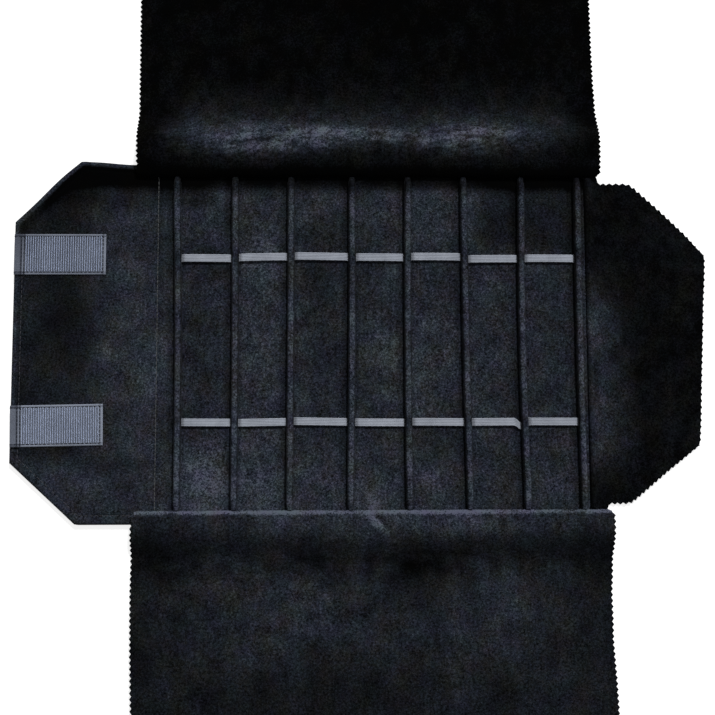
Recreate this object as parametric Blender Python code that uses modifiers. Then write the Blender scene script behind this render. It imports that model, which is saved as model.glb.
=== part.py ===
# A jewelry roll, laid open on a table: a velour panel of seven channels between eight piped
# ribs, two elastic bands across them, a closing flap with hook tape at the left, a soft end
# flap at the right, and two wide cover flaps folded out from the top and bottom edges.
# Metres, +Z up, +X to the right, +Y to the top edge. The origin is on the table, under the
# middle of the whole roll.
#
# The cloth is cut into sections where it bends, so that the sections can turn on hinges.

from math import acos, cos, pi, radians, sin, tan

import bmesh
import bpy
from mathutils import Vector

# Gap between pieces that touch
GAP = 0.0003

# Panel of channels
CHANNEL_WIDTHS = (0.0348, 0.0342, 0.0375, 0.0342, 0.0356, 0.0345, 0.0350)
PANEL_HEIGHT = 0.2200
COVER_THICKNESS = 0.0020
LINING_THICKNESS = 0.0017
LINING_INSET = 0.0010
LINING_TO_RIB = 0.00425
COVER_PAST_LAST_RIB = 0.0058

# Ribs: a velour sleeve round a piping cord, on a sewn foot
RIB_RADIUS = 0.0023
RIB_WALL = 0.0010
RIB_NECK = 0.00085
RIB_FOOT_WIDTH = 0.0040
RIB_FOOT_BEVEL = radians(28)

# Elastic bands
BAND_WIDTH = 0.0050
BAND_THICKNESS = 0.0008
UPPER_BAND_Y = 0.0525
LOWER_BAND_Y = -0.0475
BAND_BOW = 0.0006
BAND_TUCK = 0.0016
BAND_RAMP = 0.0023
BAND_NOTCH_SIDE_ROOM = 0.0003
BAND_NOTCH_ROOM = 0.0008

# Closing flap at the left
CLOSING_FLAP_LENGTH = 0.0998
CLOSING_TIP_LENGTH = 0.0570
CLOSING_CORNER_ALONG = 0.0400
CLOSING_CORNER_ACROSS = 0.0370

# Hook tapes on the closing flap, and loop tapes under one channel
LOOP_CHANNEL = 6
TAPE_WIDTH = 0.0250
HOOK_TAPE_LENGTH = 0.0562
HOOK_TAPE_WEAVE = 0.0006
HOOK_HEIGHT = 0.0005
HOOK_BORDER = 0.0018
UPPER_TAPE_Y = 0.0540
LOWER_TAPE_Y = -0.0500
LOWER_TAPE_TURN = radians(1.0)
LOOP_TAPE_MARGIN = 0.0025
LOOP_TAPE_THICKNESS = 0.0009

# Cover flaps, sewn in from the top and bottom edges of the panel
CLOTH_THICKNESS = 0.0015
FLAP_SEAM_INSET = 0.0080
FLAP_REACH = 0.1860
PINKING_DEPTH = 0.0012
TOP_FLAP_LEFT = 0.0255
TOP_FLAP_RIGHT = 0.0130
TOP_HUMP_CREST = 0.0200
TOP_HUMP_HEIGHT = 0.0100
TOP_HUMP_WIDTH = 0.0420
TOP_PINKING = 0.0031
BOTTOM_FLAP_LEFT = 0.0270
BOTTOM_FLAP_RIGHT = 0.0165
BOTTOM_HUMP_CREST = 0.0110
BOTTOM_HUMP_HEIGHT = 0.0080
BOTTOM_HUMP_WIDTH = 0.0290
BOTTOM_PINKING = 0.0035
FOLD_ROOM = 0.0007

# End flap at the right
END_FLAP_LENGTH = 0.0744
END_FLAP_HEIGHT = 0.1960
END_CORNER_ALONG = 0.0450
END_TOP_CORNER_ACROSS = 0.0450
END_BOTTOM_CORNER_ACROSS = 0.0360
END_PINKING = 0.0039
END_HINGE_FROM_RIB = 0.0045
END_HINGE_HEIGHT = 0.00705
END_ROOT_LENGTH = 0.0345
END_LEG_HEIGHT = 0.0017
END_TURN_RADIUS = 0.00125
END_SLOPE = radians(35)

# Heights above the table
COVER_TOP = COVER_THICKNESS
LINING_BOTTOM = COVER_TOP + GAP
LINING_TOP = LINING_BOTTOM + LINING_THICKNESS
ROLL_AXIS_Z = COVER_TOP + GAP / 2
TIP_AXIS_Z = LINING_TOP + GAP / 2
RIB_CENTRE_Z = LINING_BOTTOM + RIB_NECK + RIB_RADIUS
RIB_TOP = RIB_CENTRE_Z + RIB_RADIUS
CLOTH_MID = CLOTH_THICKNESS / 2
TOP_FOLD_Z = (RIB_TOP + TOP_HUMP_HEIGHT) / 2 + FOLD_ROOM
BOTTOM_FOLD_Z = TOP_FOLD_Z + (CLOTH_THICKNESS + GAP) / 2

# Places along the roll and across it
ROLL_LENGTH = CLOSING_FLAP_LENGTH + sum(CHANNEL_WIDTHS) + END_FLAP_LENGTH
LEFT_END = -ROLL_LENGTH / 2
RIGHT_END = ROLL_LENGTH / 2
FIRST_RIB = LEFT_END + CLOSING_FLAP_LENGTH
RIB_XS = [FIRST_RIB + sum(CHANNEL_WIDTHS[:n]) for n in range(len(CHANNEL_WIDTHS) + 1)]
TIP_X = LEFT_END + CLOSING_TIP_LENGTH
LAST_RIB = RIB_XS[-1]
END_HINGE_X = LAST_RIB + END_HINGE_FROM_RIB
END_FOLD_X = END_HINGE_X + END_ROOT_LENGTH
PANEL_EDGE = PANEL_HEIGHT / 2
SEAM_Y = PANEL_EDGE - FLAP_SEAM_INSET
RIB_HALF_LENGTH = SEAM_Y - CLOTH_THICKNESS - GAP

# Colours, as linear RGB
BLACK_CLOTH = (0.006, 0.006, 0.007)
VELOUR = (0.016, 0.018, 0.023)
DARK_VELOUR = (0.006, 0.006, 0.008)
CORD_COTTON = (0.55, 0.52, 0.46)
ELASTIC_GREY = (0.32, 0.34, 0.38)
TAPE_GREY = (0.13, 0.15, 0.19)

# How rough the finishes are
CLOTH_ROUGHNESS = 0.9
ELASTIC_ROUGHNESS = 0.8
TAPE_ROUGHNESS = 0.7

# Curve and circle steps
RIB_STEPS = 20
BORE_STEPS = 14
HUMP_FRONT_STEPS = 4
HUMP_BACK_STEPS = 6
TURN_STEPS = 5
BOW_STEPS = 4
SAME_PLACE = 1e-7
MERGE_DISTANCE = 1e-6

solids = bpy.data.collections.new("jewelry_roll")
cutters = bpy.data.collections.new("cutters")


def clear_scene():
    for thing in list(bpy.data.objects):
        bpy.data.objects.remove(thing, do_unlink=True)
    for collection in (solids, cutters):
        bpy.context.scene.collection.children.link(collection)


def material(name, colour, roughness):
    made = bpy.data.materials.new(name)
    made.use_nodes = True
    shader = made.node_tree.nodes["Principled BSDF"]
    shader.inputs["Base Color"].default_value = (*colour, 1)
    shader.inputs["Roughness"].default_value = roughness
    shader.inputs["Metallic"].default_value = 0
    made.diffuse_color = (*colour, 1)
    return made


def axis(name, place, carrier=None):
    # An empty on a hinge's axis, carried by the axis of the section it is hung on
    empty = bpy.data.objects.new(name, None)
    empty.empty_display_size = 0.01
    solids.objects.link(empty)
    empty.parent = carrier
    empty.location = Vector(place) - world_place(carrier)
    return empty


def world_place(thing):
    place = Vector((0, 0, 0))
    while thing:
        place += thing.location
        thing = thing.parent
    return place


def add_solid(name, data, place, body, colour, roughness):
    thing = bpy.data.objects.new(name, data)
    solids.objects.link(thing)
    data.materials.append(material(name, colour, roughness))
    thing.parent = body
    thing.location = Vector(place) - world_place(body)
    return thing


def flat_face(outline):
    bm = bmesh.new()
    bm.faces.new([bm.verts.new((x, y, 0)) for x, y in outline])
    return bm


def cut_all(bm, place, normal, clear_outer=False):
    everything = bm.verts[:] + bm.edges[:] + bm.faces[:]
    bmesh.ops.bisect_plane(
        bm, geom=everything, dist=SAME_PLACE, plane_co=place, plane_no=normal, clear_outer=clear_outer
    )


def strip_of(outline, left, right):
    # The part of a flat outline between two upright lines
    bm = flat_face(outline)
    cut_all(bm, (left, 0, 0), (-1, 0, 0), clear_outer=True)
    cut_all(bm, (right, 0, 0), (1, 0, 0), clear_outer=True)
    return bm


def mesh_from(bm, name):
    bmesh.ops.recalc_face_normals(bm, faces=bm.faces[:])
    mesh = bpy.data.meshes.new(name)
    bm.to_mesh(mesh)
    bm.free()
    return mesh


def sheet_mesh(bm, name):
    # An open sheet whose faces look up
    bmesh.ops.recalc_face_normals(bm, faces=bm.faces[:])
    if sum(face.normal.z for face in bm.faces) < 0:
        bmesh.ops.reverse_faces(bm, faces=bm.faces[:])
    mesh = bpy.data.meshes.new(name)
    bm.to_mesh(mesh)
    bm.free()
    return mesh


def thicken(thing, thickness, offset):
    # offset 1 adds the thickness above the sheet, 0 half of it on each side
    solid = thing.modifiers.new("thickness", "SOLIDIFY")
    solid.thickness = thickness
    solid.offset = offset
    solid.use_even_offset = True
    return thing


def flat_sheet(name, outline, left, right, bottom, thickness, body, colour):
    mesh = sheet_mesh(strip_of(outline, left, right), name)
    return thicken(add_solid(name, mesh, (0, 0, bottom), body, colour, CLOTH_ROUGHNESS), thickness, 1)


def box(name, size, centre, body=None, colour=BLACK_CLOTH, cutter=False):
    bpy.ops.mesh.primitive_cube_add(size=1)
    cube = bpy.context.active_object
    cube.name = name
    cube.data.name = name
    for vertex in cube.data.vertices:
        vertex.co = [a * b for a, b in zip(vertex.co, size)]
    for collection in list(cube.users_collection):
        collection.objects.unlink(cube)
    (cutters if cutter else solids).objects.link(cube)
    cube.parent = body
    cube.location = Vector(centre) - world_place(body)
    if cutter:
        cube.hide_render = True
        cube.display_type = "WIRE"
    else:
        cube.data.materials.append(material(name, colour, CLOTH_ROUGHNESS))
    return cube


def cut_with(thing, cutter):
    cut = thing.modifiers.new(cutter.name, "BOOLEAN")
    cut.operation = "DIFFERENCE"
    cut.object = cutter


# Bodies: one empty for each section that turns

bodies = {}


def hang_bodies():
    # Each channel is hung on the one before it, at the rib between them, and the rib turns half as far
    first = axis("channel_1_axis", (RIB_XS[0], 0, ROLL_AXIS_Z))
    bodies["channel_1"] = first
    bodies["rib_1"] = axis("rib_1_axis", (RIB_XS[0], 0, ROLL_AXIS_Z), first)
    bodies["closing_root"] = axis("closing_root_axis", (RIB_XS[0], 0, ROLL_AXIS_Z), first)
    bodies["closing_tip"] = axis("closing_tip_axis", (TIP_X, 0, TIP_AXIS_Z), bodies["closing_root"])
    for number in range(2, len(CHANNEL_WIDTHS) + 1):
        place = (RIB_XS[number - 1], 0, ROLL_AXIS_Z)
        before = bodies[f"channel_{number - 1}"]
        bodies[f"rib_{number}"] = axis(f"rib_{number}_axis", place, before)
        bodies[f"channel_{number}"] = axis(f"channel_{number}_axis", place, before)
    last = bodies[f"channel_{len(CHANNEL_WIDTHS)}"]
    bodies[f"rib_{len(RIB_XS)}"] = last
    bodies["end_root"] = axis("end_flap_root_axis", (END_HINGE_X, 0, END_HINGE_HEIGHT), last)
    bodies["end_tip"] = axis("end_flap_tip_axis", (END_FOLD_X, 0, 0), bodies["end_root"])
    for side, sign, height in (("top", 1, TOP_FOLD_Z), ("bottom", -1, BOTTOM_FOLD_Z)):
        for number in range(len(CHANNEL_WIDTHS) + 1):
            carrier = bodies[f"channel_{number}"] if number else bodies["closing_root"]
            x = RIB_XS[max(number - 1, 0)]
            name = f"{side}_flap_{number}"
            bodies[name] = axis(f"{name}_axis", (x, sign * SEAM_Y, height), carrier)


# Outer cover and lining

def panel_outline(inset, right):
    left = LEFT_END + inset
    edge = PANEL_EDGE - inset
    along = left + CLOSING_CORNER_ALONG
    across = edge - CLOSING_CORNER_ACROSS
    return [(along, edge), (left, across), (left, -across), (along, -edge), (right, -edge), (right, edge)]


def make_cover():
    cover_end = LAST_RIB + COVER_PAST_LAST_RIB
    outline = panel_outline(0, cover_end)
    half = GAP / 2

    def section(name, left, right, body):
        return flat_sheet(name, outline, left, right, 0, COVER_THICKNESS, bodies[body], BLACK_CLOTH)

    section("closing_flap_cover_tip", LEFT_END, TIP_X - half, "closing_tip")
    section("closing_flap_cover_root", TIP_X + half, FIRST_RIB - half, "closing_root")
    for number in range(1, len(CHANNEL_WIDTHS) + 1):
        left = RIB_XS[number - 1] + half
        right = cover_end if number == len(CHANNEL_WIDTHS) else RIB_XS[number] - half
        cover = section(f"outer_cover_{number}", left, right, f"channel_{number}")
        if number == LOOP_CHANNEL:
            seat_loop_tapes(cover)


def make_lining():
    outline = panel_outline(LINING_INSET, LAST_RIB)
    half = GAP / 2

    def section(name, left, right, body):
        flat_sheet(name, outline, left, right, LINING_BOTTOM, LINING_THICKNESS, bodies[body], VELOUR)

    section("closing_flap_lining_tip", LEFT_END, TIP_X - half, "closing_tip")
    section("closing_flap_lining_root", TIP_X + half, FIRST_RIB - LINING_TO_RIB, "closing_root")
    for number in range(1, len(CHANNEL_WIDTHS) + 1):
        left = RIB_XS[number - 1] + LINING_TO_RIB
        right = RIB_XS[number] - LINING_TO_RIB
        section(f"lining_{number}", left, right, f"channel_{number}")


# Hook and loop tapes

def seat_loop_tapes(cover):
    # The loop tapes are let into the outside of their channel, flush with it
    left = RIB_XS[LOOP_CHANNEL - 1] + LOOP_TAPE_MARGIN
    right = RIB_XS[LOOP_CHANNEL] - LOOP_TAPE_MARGIN
    middle = (left + right) / 2
    for name, y in (("loop_tape_upper", UPPER_TAPE_Y), ("loop_tape_lower", LOWER_TAPE_Y)):
        size = (right - left, TAPE_WIDTH, LOOP_TAPE_THICKNESS)
        centre = (middle, y, LOOP_TAPE_THICKNESS / 2)
        box(name, size, centre, bodies[f"channel_{LOOP_CHANNEL}"], TAPE_GREY)
        seat = box(f"{name}_seat", [a + 2 * GAP for a in size], centre, cutter=True)
        cut_with(cover, seat)


def make_hook_tape(name, y, turn):
    # A woven tape with a raised field of hooks inside a plain border
    bm = bmesh.new()
    bmesh.ops.create_cube(bm, size=1)
    for vertex in bm.verts:
        vertex.co.x *= HOOK_TAPE_LENGTH
        vertex.co.y *= TAPE_WIDTH
        vertex.co.z = (vertex.co.z + 0.5) * HOOK_TAPE_WEAVE
    top = [face for face in bm.faces if face.normal.z > 0.5]
    bmesh.ops.inset_region(bm, faces=top, thickness=HOOK_BORDER)
    raised = bmesh.ops.extrude_face_region(bm, geom=top)
    corners = [part for part in raised["geom"] if isinstance(part, bmesh.types.BMVert)]
    bmesh.ops.translate(bm, verts=corners, vec=(0, 0, HOOK_HEIGHT))
    bmesh.ops.delete(bm, geom=top, context="FACES")
    mesh = mesh_from(bm, name)
    place = (TIP_X - GAP - HOOK_TAPE_LENGTH / 2, y, LINING_TOP + GAP)
    tape = add_solid(name, mesh, place, bodies["closing_tip"], TAPE_GREY, TAPE_ROUGHNESS)
    tape.rotation_euler.z = turn


# Ribs

def rib_profile():
    # Upright section of a sleeve, from its middle: the sewn foot, then round the cord
    foot_side = RIB_FOOT_WIDTH / 2
    foot_corner = foot_side * tan(RIB_FOOT_BEVEL)
    centre = RIB_CENTRE_Z - LINING_BOTTOM
    points = [(0, 0), (foot_side, foot_corner)]
    start = -acos(foot_side / RIB_RADIUS)
    sweep = pi - 2 * start
    for step in range(RIB_STEPS + 1):
        angle = start + sweep * step / RIB_STEPS
        points.append((RIB_RADIUS * cos(angle), centre + RIB_RADIUS * sin(angle)))
    points.append((-foot_side, foot_corner))
    bore = RIB_RADIUS - RIB_WALL
    hole = [
        (bore * cos(2 * pi * n / BORE_STEPS), centre + bore * sin(2 * pi * n / BORE_STEPS))
        for n in range(BORE_STEPS)
    ]
    return points, hole


def extruded(name, outlines, half_length):
    # Closed 2D outlines drawn upright across X, and run along Y
    curve = bpy.data.curves.new(name, "CURVE")
    curve.dimensions = "2D"
    curve.fill_mode = "BOTH"
    curve.extrude = half_length
    for outline in outlines:
        spline = curve.splines.new("POLY")
        spline.points.add(len(outline) - 1)
        for point, (x, z) in zip(spline.points, outline):
            point.co = (x, z, 0, 1)
        spline.use_cyclic_u = True
    drawn = bpy.data.objects.new(name, curve)
    solids.objects.link(drawn)
    drawn.rotation_euler.x = pi / 2
    graph = bpy.context.evaluated_depsgraph_get()
    mesh = bpy.data.meshes.new_from_object(drawn.evaluated_get(graph))
    mesh.transform(drawn.rotation_euler.to_matrix().to_4x4())
    bpy.data.objects.remove(drawn)
    bpy.data.curves.remove(curve)
    bm = bmesh.new()
    bm.from_mesh(mesh)
    bmesh.ops.remove_doubles(bm, verts=bm.verts[:], dist=MERGE_DISTANCE)
    bmesh.ops.recalc_face_normals(bm, faces=bm.faces[:])
    bm.to_mesh(mesh)
    bm.free()
    mesh.name = name
    return mesh


def make_ribs():
    notch_top = COVER_TOP + GAP + BAND_THICKNESS + BAND_NOTCH_ROOM
    notch_size = (
        2 * RIB_RADIUS,
        BAND_WIDTH + 2 * BAND_NOTCH_SIDE_ROOM,
        2 * (notch_top - LINING_BOTTOM),
    )
    for number, x in enumerate(RIB_XS, start=1):
        body = bodies[f"rib_{number}"]
        name = f"rib_{number}"
        mesh = extruded(name, rib_profile(), RIB_HALF_LENGTH)
        sleeve = add_solid(name, mesh, (x, 0, LINING_BOTTOM), body, VELOUR, CLOTH_ROUGHNESS)
        for place, y in (("upper", UPPER_BAND_Y), ("lower", LOWER_BAND_Y)):
            notch = box(f"{name}_{place}_notch", notch_size, (x, y, LINING_BOTTOM), cutter=True)
            cut_with(sleeve, notch)
        make_cord(f"rib_cord_{number}", x, body)


def make_cord(name, x, body):
    bpy.ops.mesh.primitive_cylinder_add(
        vertices=BORE_STEPS, radius=RIB_RADIUS - RIB_WALL - GAP, depth=2 * RIB_HALF_LENGTH
    )
    drawn = bpy.context.active_object
    mesh = drawn.data
    mesh.transform(drawn.matrix_world)
    bpy.data.objects.remove(drawn)
    for vertex in mesh.vertices:
        vertex.co = (vertex.co.x, -vertex.co.z, vertex.co.y)
    mesh.name = name
    add_solid(name, mesh, (x, 0, RIB_CENTRE_Z), body, CORD_COTTON, CLOTH_ROUGHNESS)


# Elastic bands

def band_route():
    # Middle of the band, along X: tucked under each rib and bowed up a little between them
    low = COVER_TOP + GAP + BAND_THICKNESS / 2
    high = LINING_TOP + GAP + BAND_THICKNESS / 2
    route = [(RIB_XS[0] - BAND_TUCK, low)]
    for left, right in zip(RIB_XS, RIB_XS[1:]):
        start = left + BAND_TUCK + BAND_RAMP
        end = right - BAND_TUCK - BAND_RAMP
        route.append((left + BAND_TUCK, low))
        for step in range(BOW_STEPS + 1):
            share = step / BOW_STEPS
            route.append((start + (end - start) * share, high + BAND_BOW * sin(pi * share)))
        route.append((right - BAND_TUCK, low))
    route.append((RIB_XS[-1] + BAND_TUCK, low))
    return route


def make_band(name, y):
    bm = bmesh.new()
    sides = [
        [bm.verts.new((x, side * BAND_WIDTH / 2, z)) for x, z in band_route()]
        for side in (-1, 1)
    ]
    near, far = sides
    for n in range(len(near) - 1):
        bm.faces.new((near[n], near[n + 1], far[n + 1], far[n]))
    mesh = sheet_mesh(bm, name)
    band = add_solid(name, mesh, (0, y, 0), bodies["channel_1"], ELASTIC_GREY, ELASTIC_ROUGHNESS)
    thicken(band, BAND_THICKNESS, 0)


# Pinked cloth flaps

def pinked(start, end, pitch):
    # A saw-toothed cut from start to end, with the cloth on its left; the end point is left out
    start, end = Vector(start), Vector(end)
    along = end - start
    teeth = max(round(along.length / pitch), 1)
    inward = Vector((-along.y, along.x)).normalized() * PINKING_DEPTH
    points = []
    for n in range(teeth):
        points.append(start + along * n / teeth)
        points.append(start + along * (n + 0.5) / teeth + inward)
    return points


def pinked_round(corners, pitch):
    # All the edges from the first corner to the last are pinked; the one that is sewn is straight
    outline = []
    for start, end in zip(corners, corners[1:]):
        outline += pinked(start, end, pitch)
    return outline + [Vector(corners[-1])]


def lengths_along(profile):
    total = 0
    lengths = [0]
    for (x0, z0), (x1, z1) in zip(profile, profile[1:]):
        total += ((x1 - x0) ** 2 + (z1 - z0) ** 2) ** 0.5
        lengths.append(total)
    return lengths


def bend(bm, profile, across):
    # Lays a flat cut piece, whose own x is measured along the cloth, over a profile of
    # (distance, height) points, and across turns (distance, side, height) into a place
    lengths = lengths_along(profile)
    for length in lengths[1:-1]:
        cut_all(bm, (length, 0, 0), (1, 0, 0))
    for vertex in bm.verts:
        length = min(max(vertex.co.x, 0), lengths[-1])
        n = next(i for i in range(1, len(lengths)) if length <= lengths[i] + SAME_PLACE)
        share = (length - lengths[n - 1]) / (lengths[n] - lengths[n - 1])
        (x0, z0), (x1, z1) = profile[n - 1], profile[n]
        vertex.co = across(x0 + (x1 - x0) * share, vertex.co.y, z0 + (z1 - z0) * share)


def hump_profile(crest, height, width):
    # From the seam: up the front as a quarter ellipse, down the back as a wave, flat to the end
    foot = LINING_TOP + GAP + CLOTH_MID
    peak = height - CLOTH_MID
    points = []
    for step in range(HUMP_FRONT_STEPS + 1):
        angle = pi / 2 * step / HUMP_FRONT_STEPS
        points.append((crest * (1 - cos(angle)), foot + (peak - foot) * sin(angle)))
    for step in range(1, HUMP_BACK_STEPS + 1):
        share = step / HUMP_BACK_STEPS
        drop = (1 - cos(pi * share)) / 2
        points.append((crest + (width - crest) * share, peak + (CLOTH_MID - peak) * drop))
    points.append((FLAP_REACH, CLOTH_MID))
    return points


def make_cover_flap(side, sign, left, right, profile, pitch):
    # Cut flat with three pinked edges, then bent over the hump and split at the ribs
    reach = lengths_along(profile)[-1]
    near, far = FIRST_RIB - left, LAST_RIB + right
    corners = [(0, near), (reach, near), (reach, far), (0, far)]
    outline = pinked_round(corners, pitch)
    for number in range(len(RIB_XS)):
        name = f"{side}_cover_flap_{number}"
        bm = flat_face(outline)
        if number:
            cut_all(bm, (0, RIB_XS[number - 1] + GAP / 2, 0), (0, -1, 0), clear_outer=True)
        if number < len(CHANNEL_WIDTHS):
            cut_all(bm, (0, RIB_XS[number] - GAP / 2, 0), (0, 1, 0), clear_outer=True)
        bend(bm, profile, lambda out, along, up: (along, sign * (SEAM_Y + out), up))
        body = bodies[f"{side}_flap_{number}"]
        piece = add_solid(name, sheet_mesh(bm, name), (0, 0, 0), body, DARK_VELOUR, CLOTH_ROUGHNESS)
        thicken(piece, CLOTH_THICKNESS, 0)


def end_flap_profile():
    # From the panel's edge: up a short leg, over a turn, down a slope and flat on the table
    leg_x = END_HINGE_X + GAP
    turn_z = LINING_BOTTOM + END_LEG_HEIGHT
    points = [(leg_x, LINING_BOTTOM), (leg_x, turn_z)]
    sweep = pi / 2 + END_SLOPE
    for step in range(1, TURN_STEPS + 1):
        angle = sweep * step / TURN_STEPS
        points.append((leg_x + END_TURN_RADIUS * (1 - cos(angle)), turn_z + END_TURN_RADIUS * sin(angle)))
    slope_x, slope_z = points[-1]
    points.append((slope_x + (slope_z - CLOTH_MID) / tan(END_SLOPE), CLOTH_MID))
    points.append((RIGHT_END, CLOTH_MID))
    return points


def make_end_flap():
    profile = end_flap_profile()
    length = lengths_along(profile)[-1]
    edge = END_FLAP_HEIGHT / 2
    shoulder = length - END_CORNER_ALONG
    top = edge - END_TOP_CORNER_ACROSS
    bottom = -edge + END_BOTTOM_CORNER_ACROSS
    corners = [(0, -edge), (shoulder, -edge), (length, bottom), (length, top), (shoulder, edge), (0, edge)]
    outline = pinked_round(corners, END_PINKING)
    fold = length - (RIGHT_END - END_FOLD_X)
    for name, body, keep in (("end_flap_root", "end_root", 1), ("end_flap_tip", "end_tip", -1)):
        bm = flat_face(outline)
        cut_all(bm, (fold - keep * GAP / 2, 0, 0), (keep, 0, 0), clear_outer=True)
        bend(bm, profile, lambda out, along, up: (out, along, up))
        piece = add_solid(name, sheet_mesh(bm, name), (0, 0, 0), bodies[body], DARK_VELOUR, CLOTH_ROUGHNESS)
        thicken(piece, CLOTH_THICKNESS, 0)


clear_scene()
hang_bodies()
make_cover()
make_lining()
make_hook_tape("hook_tape_upper", UPPER_TAPE_Y, 0)
make_hook_tape("hook_tape_lower", LOWER_TAPE_Y, LOWER_TAPE_TURN)
make_ribs()
make_band("elastic_band_upper", UPPER_BAND_Y)
make_band("elastic_band_lower", LOWER_BAND_Y)
make_cover_flap(
    "top", 1, TOP_FLAP_LEFT, TOP_FLAP_RIGHT,
    hump_profile(TOP_HUMP_CREST, TOP_HUMP_HEIGHT, TOP_HUMP_WIDTH), TOP_PINKING,
)
make_cover_flap(
    "bottom", -1, BOTTOM_FLAP_LEFT, BOTTOM_FLAP_RIGHT,
    hump_profile(BOTTOM_HUMP_CREST, BOTTOM_HUMP_HEIGHT, BOTTOM_HUMP_WIDTH), BOTTOM_PINKING,
)
make_end_flap()
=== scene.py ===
from math import cos, pi, radians, sin, sqrt

import bpy
import numpy as np
from mathutils import Matrix, Vector


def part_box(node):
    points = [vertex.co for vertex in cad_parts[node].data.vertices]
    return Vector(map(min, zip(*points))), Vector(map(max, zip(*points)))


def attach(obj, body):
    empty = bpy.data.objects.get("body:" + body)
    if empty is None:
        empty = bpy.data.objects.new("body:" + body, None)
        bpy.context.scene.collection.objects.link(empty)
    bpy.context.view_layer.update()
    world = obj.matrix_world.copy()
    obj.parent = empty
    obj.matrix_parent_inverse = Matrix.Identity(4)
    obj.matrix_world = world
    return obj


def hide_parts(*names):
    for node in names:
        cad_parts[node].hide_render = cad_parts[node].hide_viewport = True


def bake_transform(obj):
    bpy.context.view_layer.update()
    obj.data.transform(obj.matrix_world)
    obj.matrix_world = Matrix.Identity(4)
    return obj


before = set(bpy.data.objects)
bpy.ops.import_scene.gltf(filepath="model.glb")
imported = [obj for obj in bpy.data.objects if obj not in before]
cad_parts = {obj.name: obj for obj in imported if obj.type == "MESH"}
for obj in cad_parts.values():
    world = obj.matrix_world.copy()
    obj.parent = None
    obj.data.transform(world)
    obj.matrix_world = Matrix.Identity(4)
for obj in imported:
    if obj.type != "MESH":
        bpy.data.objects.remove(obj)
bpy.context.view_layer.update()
mm = 0.001


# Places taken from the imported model, in millimetres

def boxOf(node):
    low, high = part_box(node)
    return low / mm, high / mm


def middleOf(node, axis):
    low, high = boxOf(node)
    return (low[axis] + high[axis]) / 2


ribX = [middleOf(f"rib_{n}", 0) for n in range(1, 9)]
midX = [(a + b) / 2 for a, b in zip(ribX, ribX[1:])]
bandY = {place: middleOf(f"elastic_band_{place}", 1) for place in ("upper", "lower")}
halfCloth = 0.75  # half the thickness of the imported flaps
leftEnd = boxOf("closing_flap_cover_tip")[0].x
foldX = boxOf("closing_flap_cover_tip")[1].x + 0.15  # between the closing flap's two lengths
closingCut = -136.0  # where the closing flap's cloth is parted, between its fold and rib 1
panelEdge = boxOf("outer_cover_1")[1].y
coverTop = boxOf("outer_cover_1")[1].z
coverEnd = boxOf("outer_cover_7")[1].x
liningTop = boxOf("lining_1")[1].z
ribTop = boxOf("rib_1")[1].z
ribRadius = (boxOf("rib_1")[1].x - boxOf("rib_1")[0].x) / 2
seamY = boxOf("top_cover_flap_1")[0].y + halfCloth

# How far each rib wanders to the right of its straight line, at its lower end, middle and upper end
ribDrift = [
    (1.2, 1.1, -0.2), (0.6, 0.6, 0.3), (-0.2, 0.1, 0.2), (-1.0, -0.2, 0.0),
    (-0.1, -0.5, 0.0), (0.6, -0.6, -1.2), (0.7, -0.8, -0.4), (0.0, -0.7, -0.6),
]
ribCurves = [np.polyfit((-74, 0, 78), drift, 2) for drift in ribDrift]


def ribLine(index, y):
    return ribX[index] + np.polyval(ribCurves[index], np.clip(y, -85, 85))


print("frame read: ribs at", [round(x, 1) for x in ribX])


# Fields over the cloth

def smooth(t):
    t = np.clip(t, 0, 1)
    return t * t * (3 - 2 * t)


def bump(t):  # 1 at 0, fading both ways
    return np.exp(-np.square(t))


def band(x, start, rise, end, fall):  # 1 between start and end, with a soft step inside each
    return smooth((x - start) / rise) * smooth((end - x) / fall)


def marks(x, y, spots):  # soft spots, each given as X, Y, reach in X, reach in Y and strength
    return sum(a * bump((x - atX) / reachX) * bump((y - atY) / reachY) for atX, atY, reachX, reachY, a in spots)


def softNoise(x, y, size, seed):  # smooth, between -1 and 1, with features about this wide
    table = np.random.RandomState(seed).uniform(-1, 1, (64, 64))
    u, v = np.asarray(x) / size + 900, np.asarray(y) / size + 900
    i, j = np.floor(u).astype(int), np.floor(v).astype(int)
    s, t = smooth(u - i), smooth(v - j)
    i, j, i1, j1 = i % 64, j % 64, (i + 1) % 64, (j + 1) % 64
    low = table[i, j] * (1 - s) + table[i1, j] * s
    high = table[i, j1] * (1 - s) + table[i1, j1] * s
    return low * (1 - t) + high * t


def ticks(start, end, step, fine=(), exact=()):  # rising places, closer together near each fine one
    def local(p):
        near = min([abs(p - c) / reach for c, reach, _ in fine] or [9])
        small = min([s for c, reach, s in fine if abs(p - c) <= 1.6 * reach] or [step])
        return small + (step - small) * float(smooth((near - 1) / 0.6)) if near < 1.6 else step

    stops = [start] + sorted(p for p in exact if start < p < end) + [end]
    places = [start]
    for a, b in zip(stops, stops[1:]):
        walk = [a]
        while walk[-1] < b:
            walk.append(walk[-1] + local(walk[-1]))
        walk = np.array(walk)
        places += list(a + (walk[1:] - a) * (b - a) / (walk[-1] - a))
    return np.array(places)


def columns(values, count):  # one column of values, repeated
    return np.repeat(values[:, None], count, 1)


# Meshes

def newObject(name, data):
    made = bpy.data.objects.new(name, data)
    bpy.context.scene.collection.objects.link(made)
    return made


def pointsOf(mesh):
    co = np.zeros(len(mesh.vertices) * 3, np.float32)
    mesh.vertices.foreach_get("co", co)
    return co


def finishedPiece(name, mesh, sharp=50):
    mesh.shade_smooth()
    mesh.set_sharp_from_angle(angle=radians(sharp))
    mesh.attributes.new("restPlace", "FLOAT_VECTOR", "POINT").data.foreach_set("vector", pointsOf(mesh))
    return newObject(name, mesh)


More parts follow.
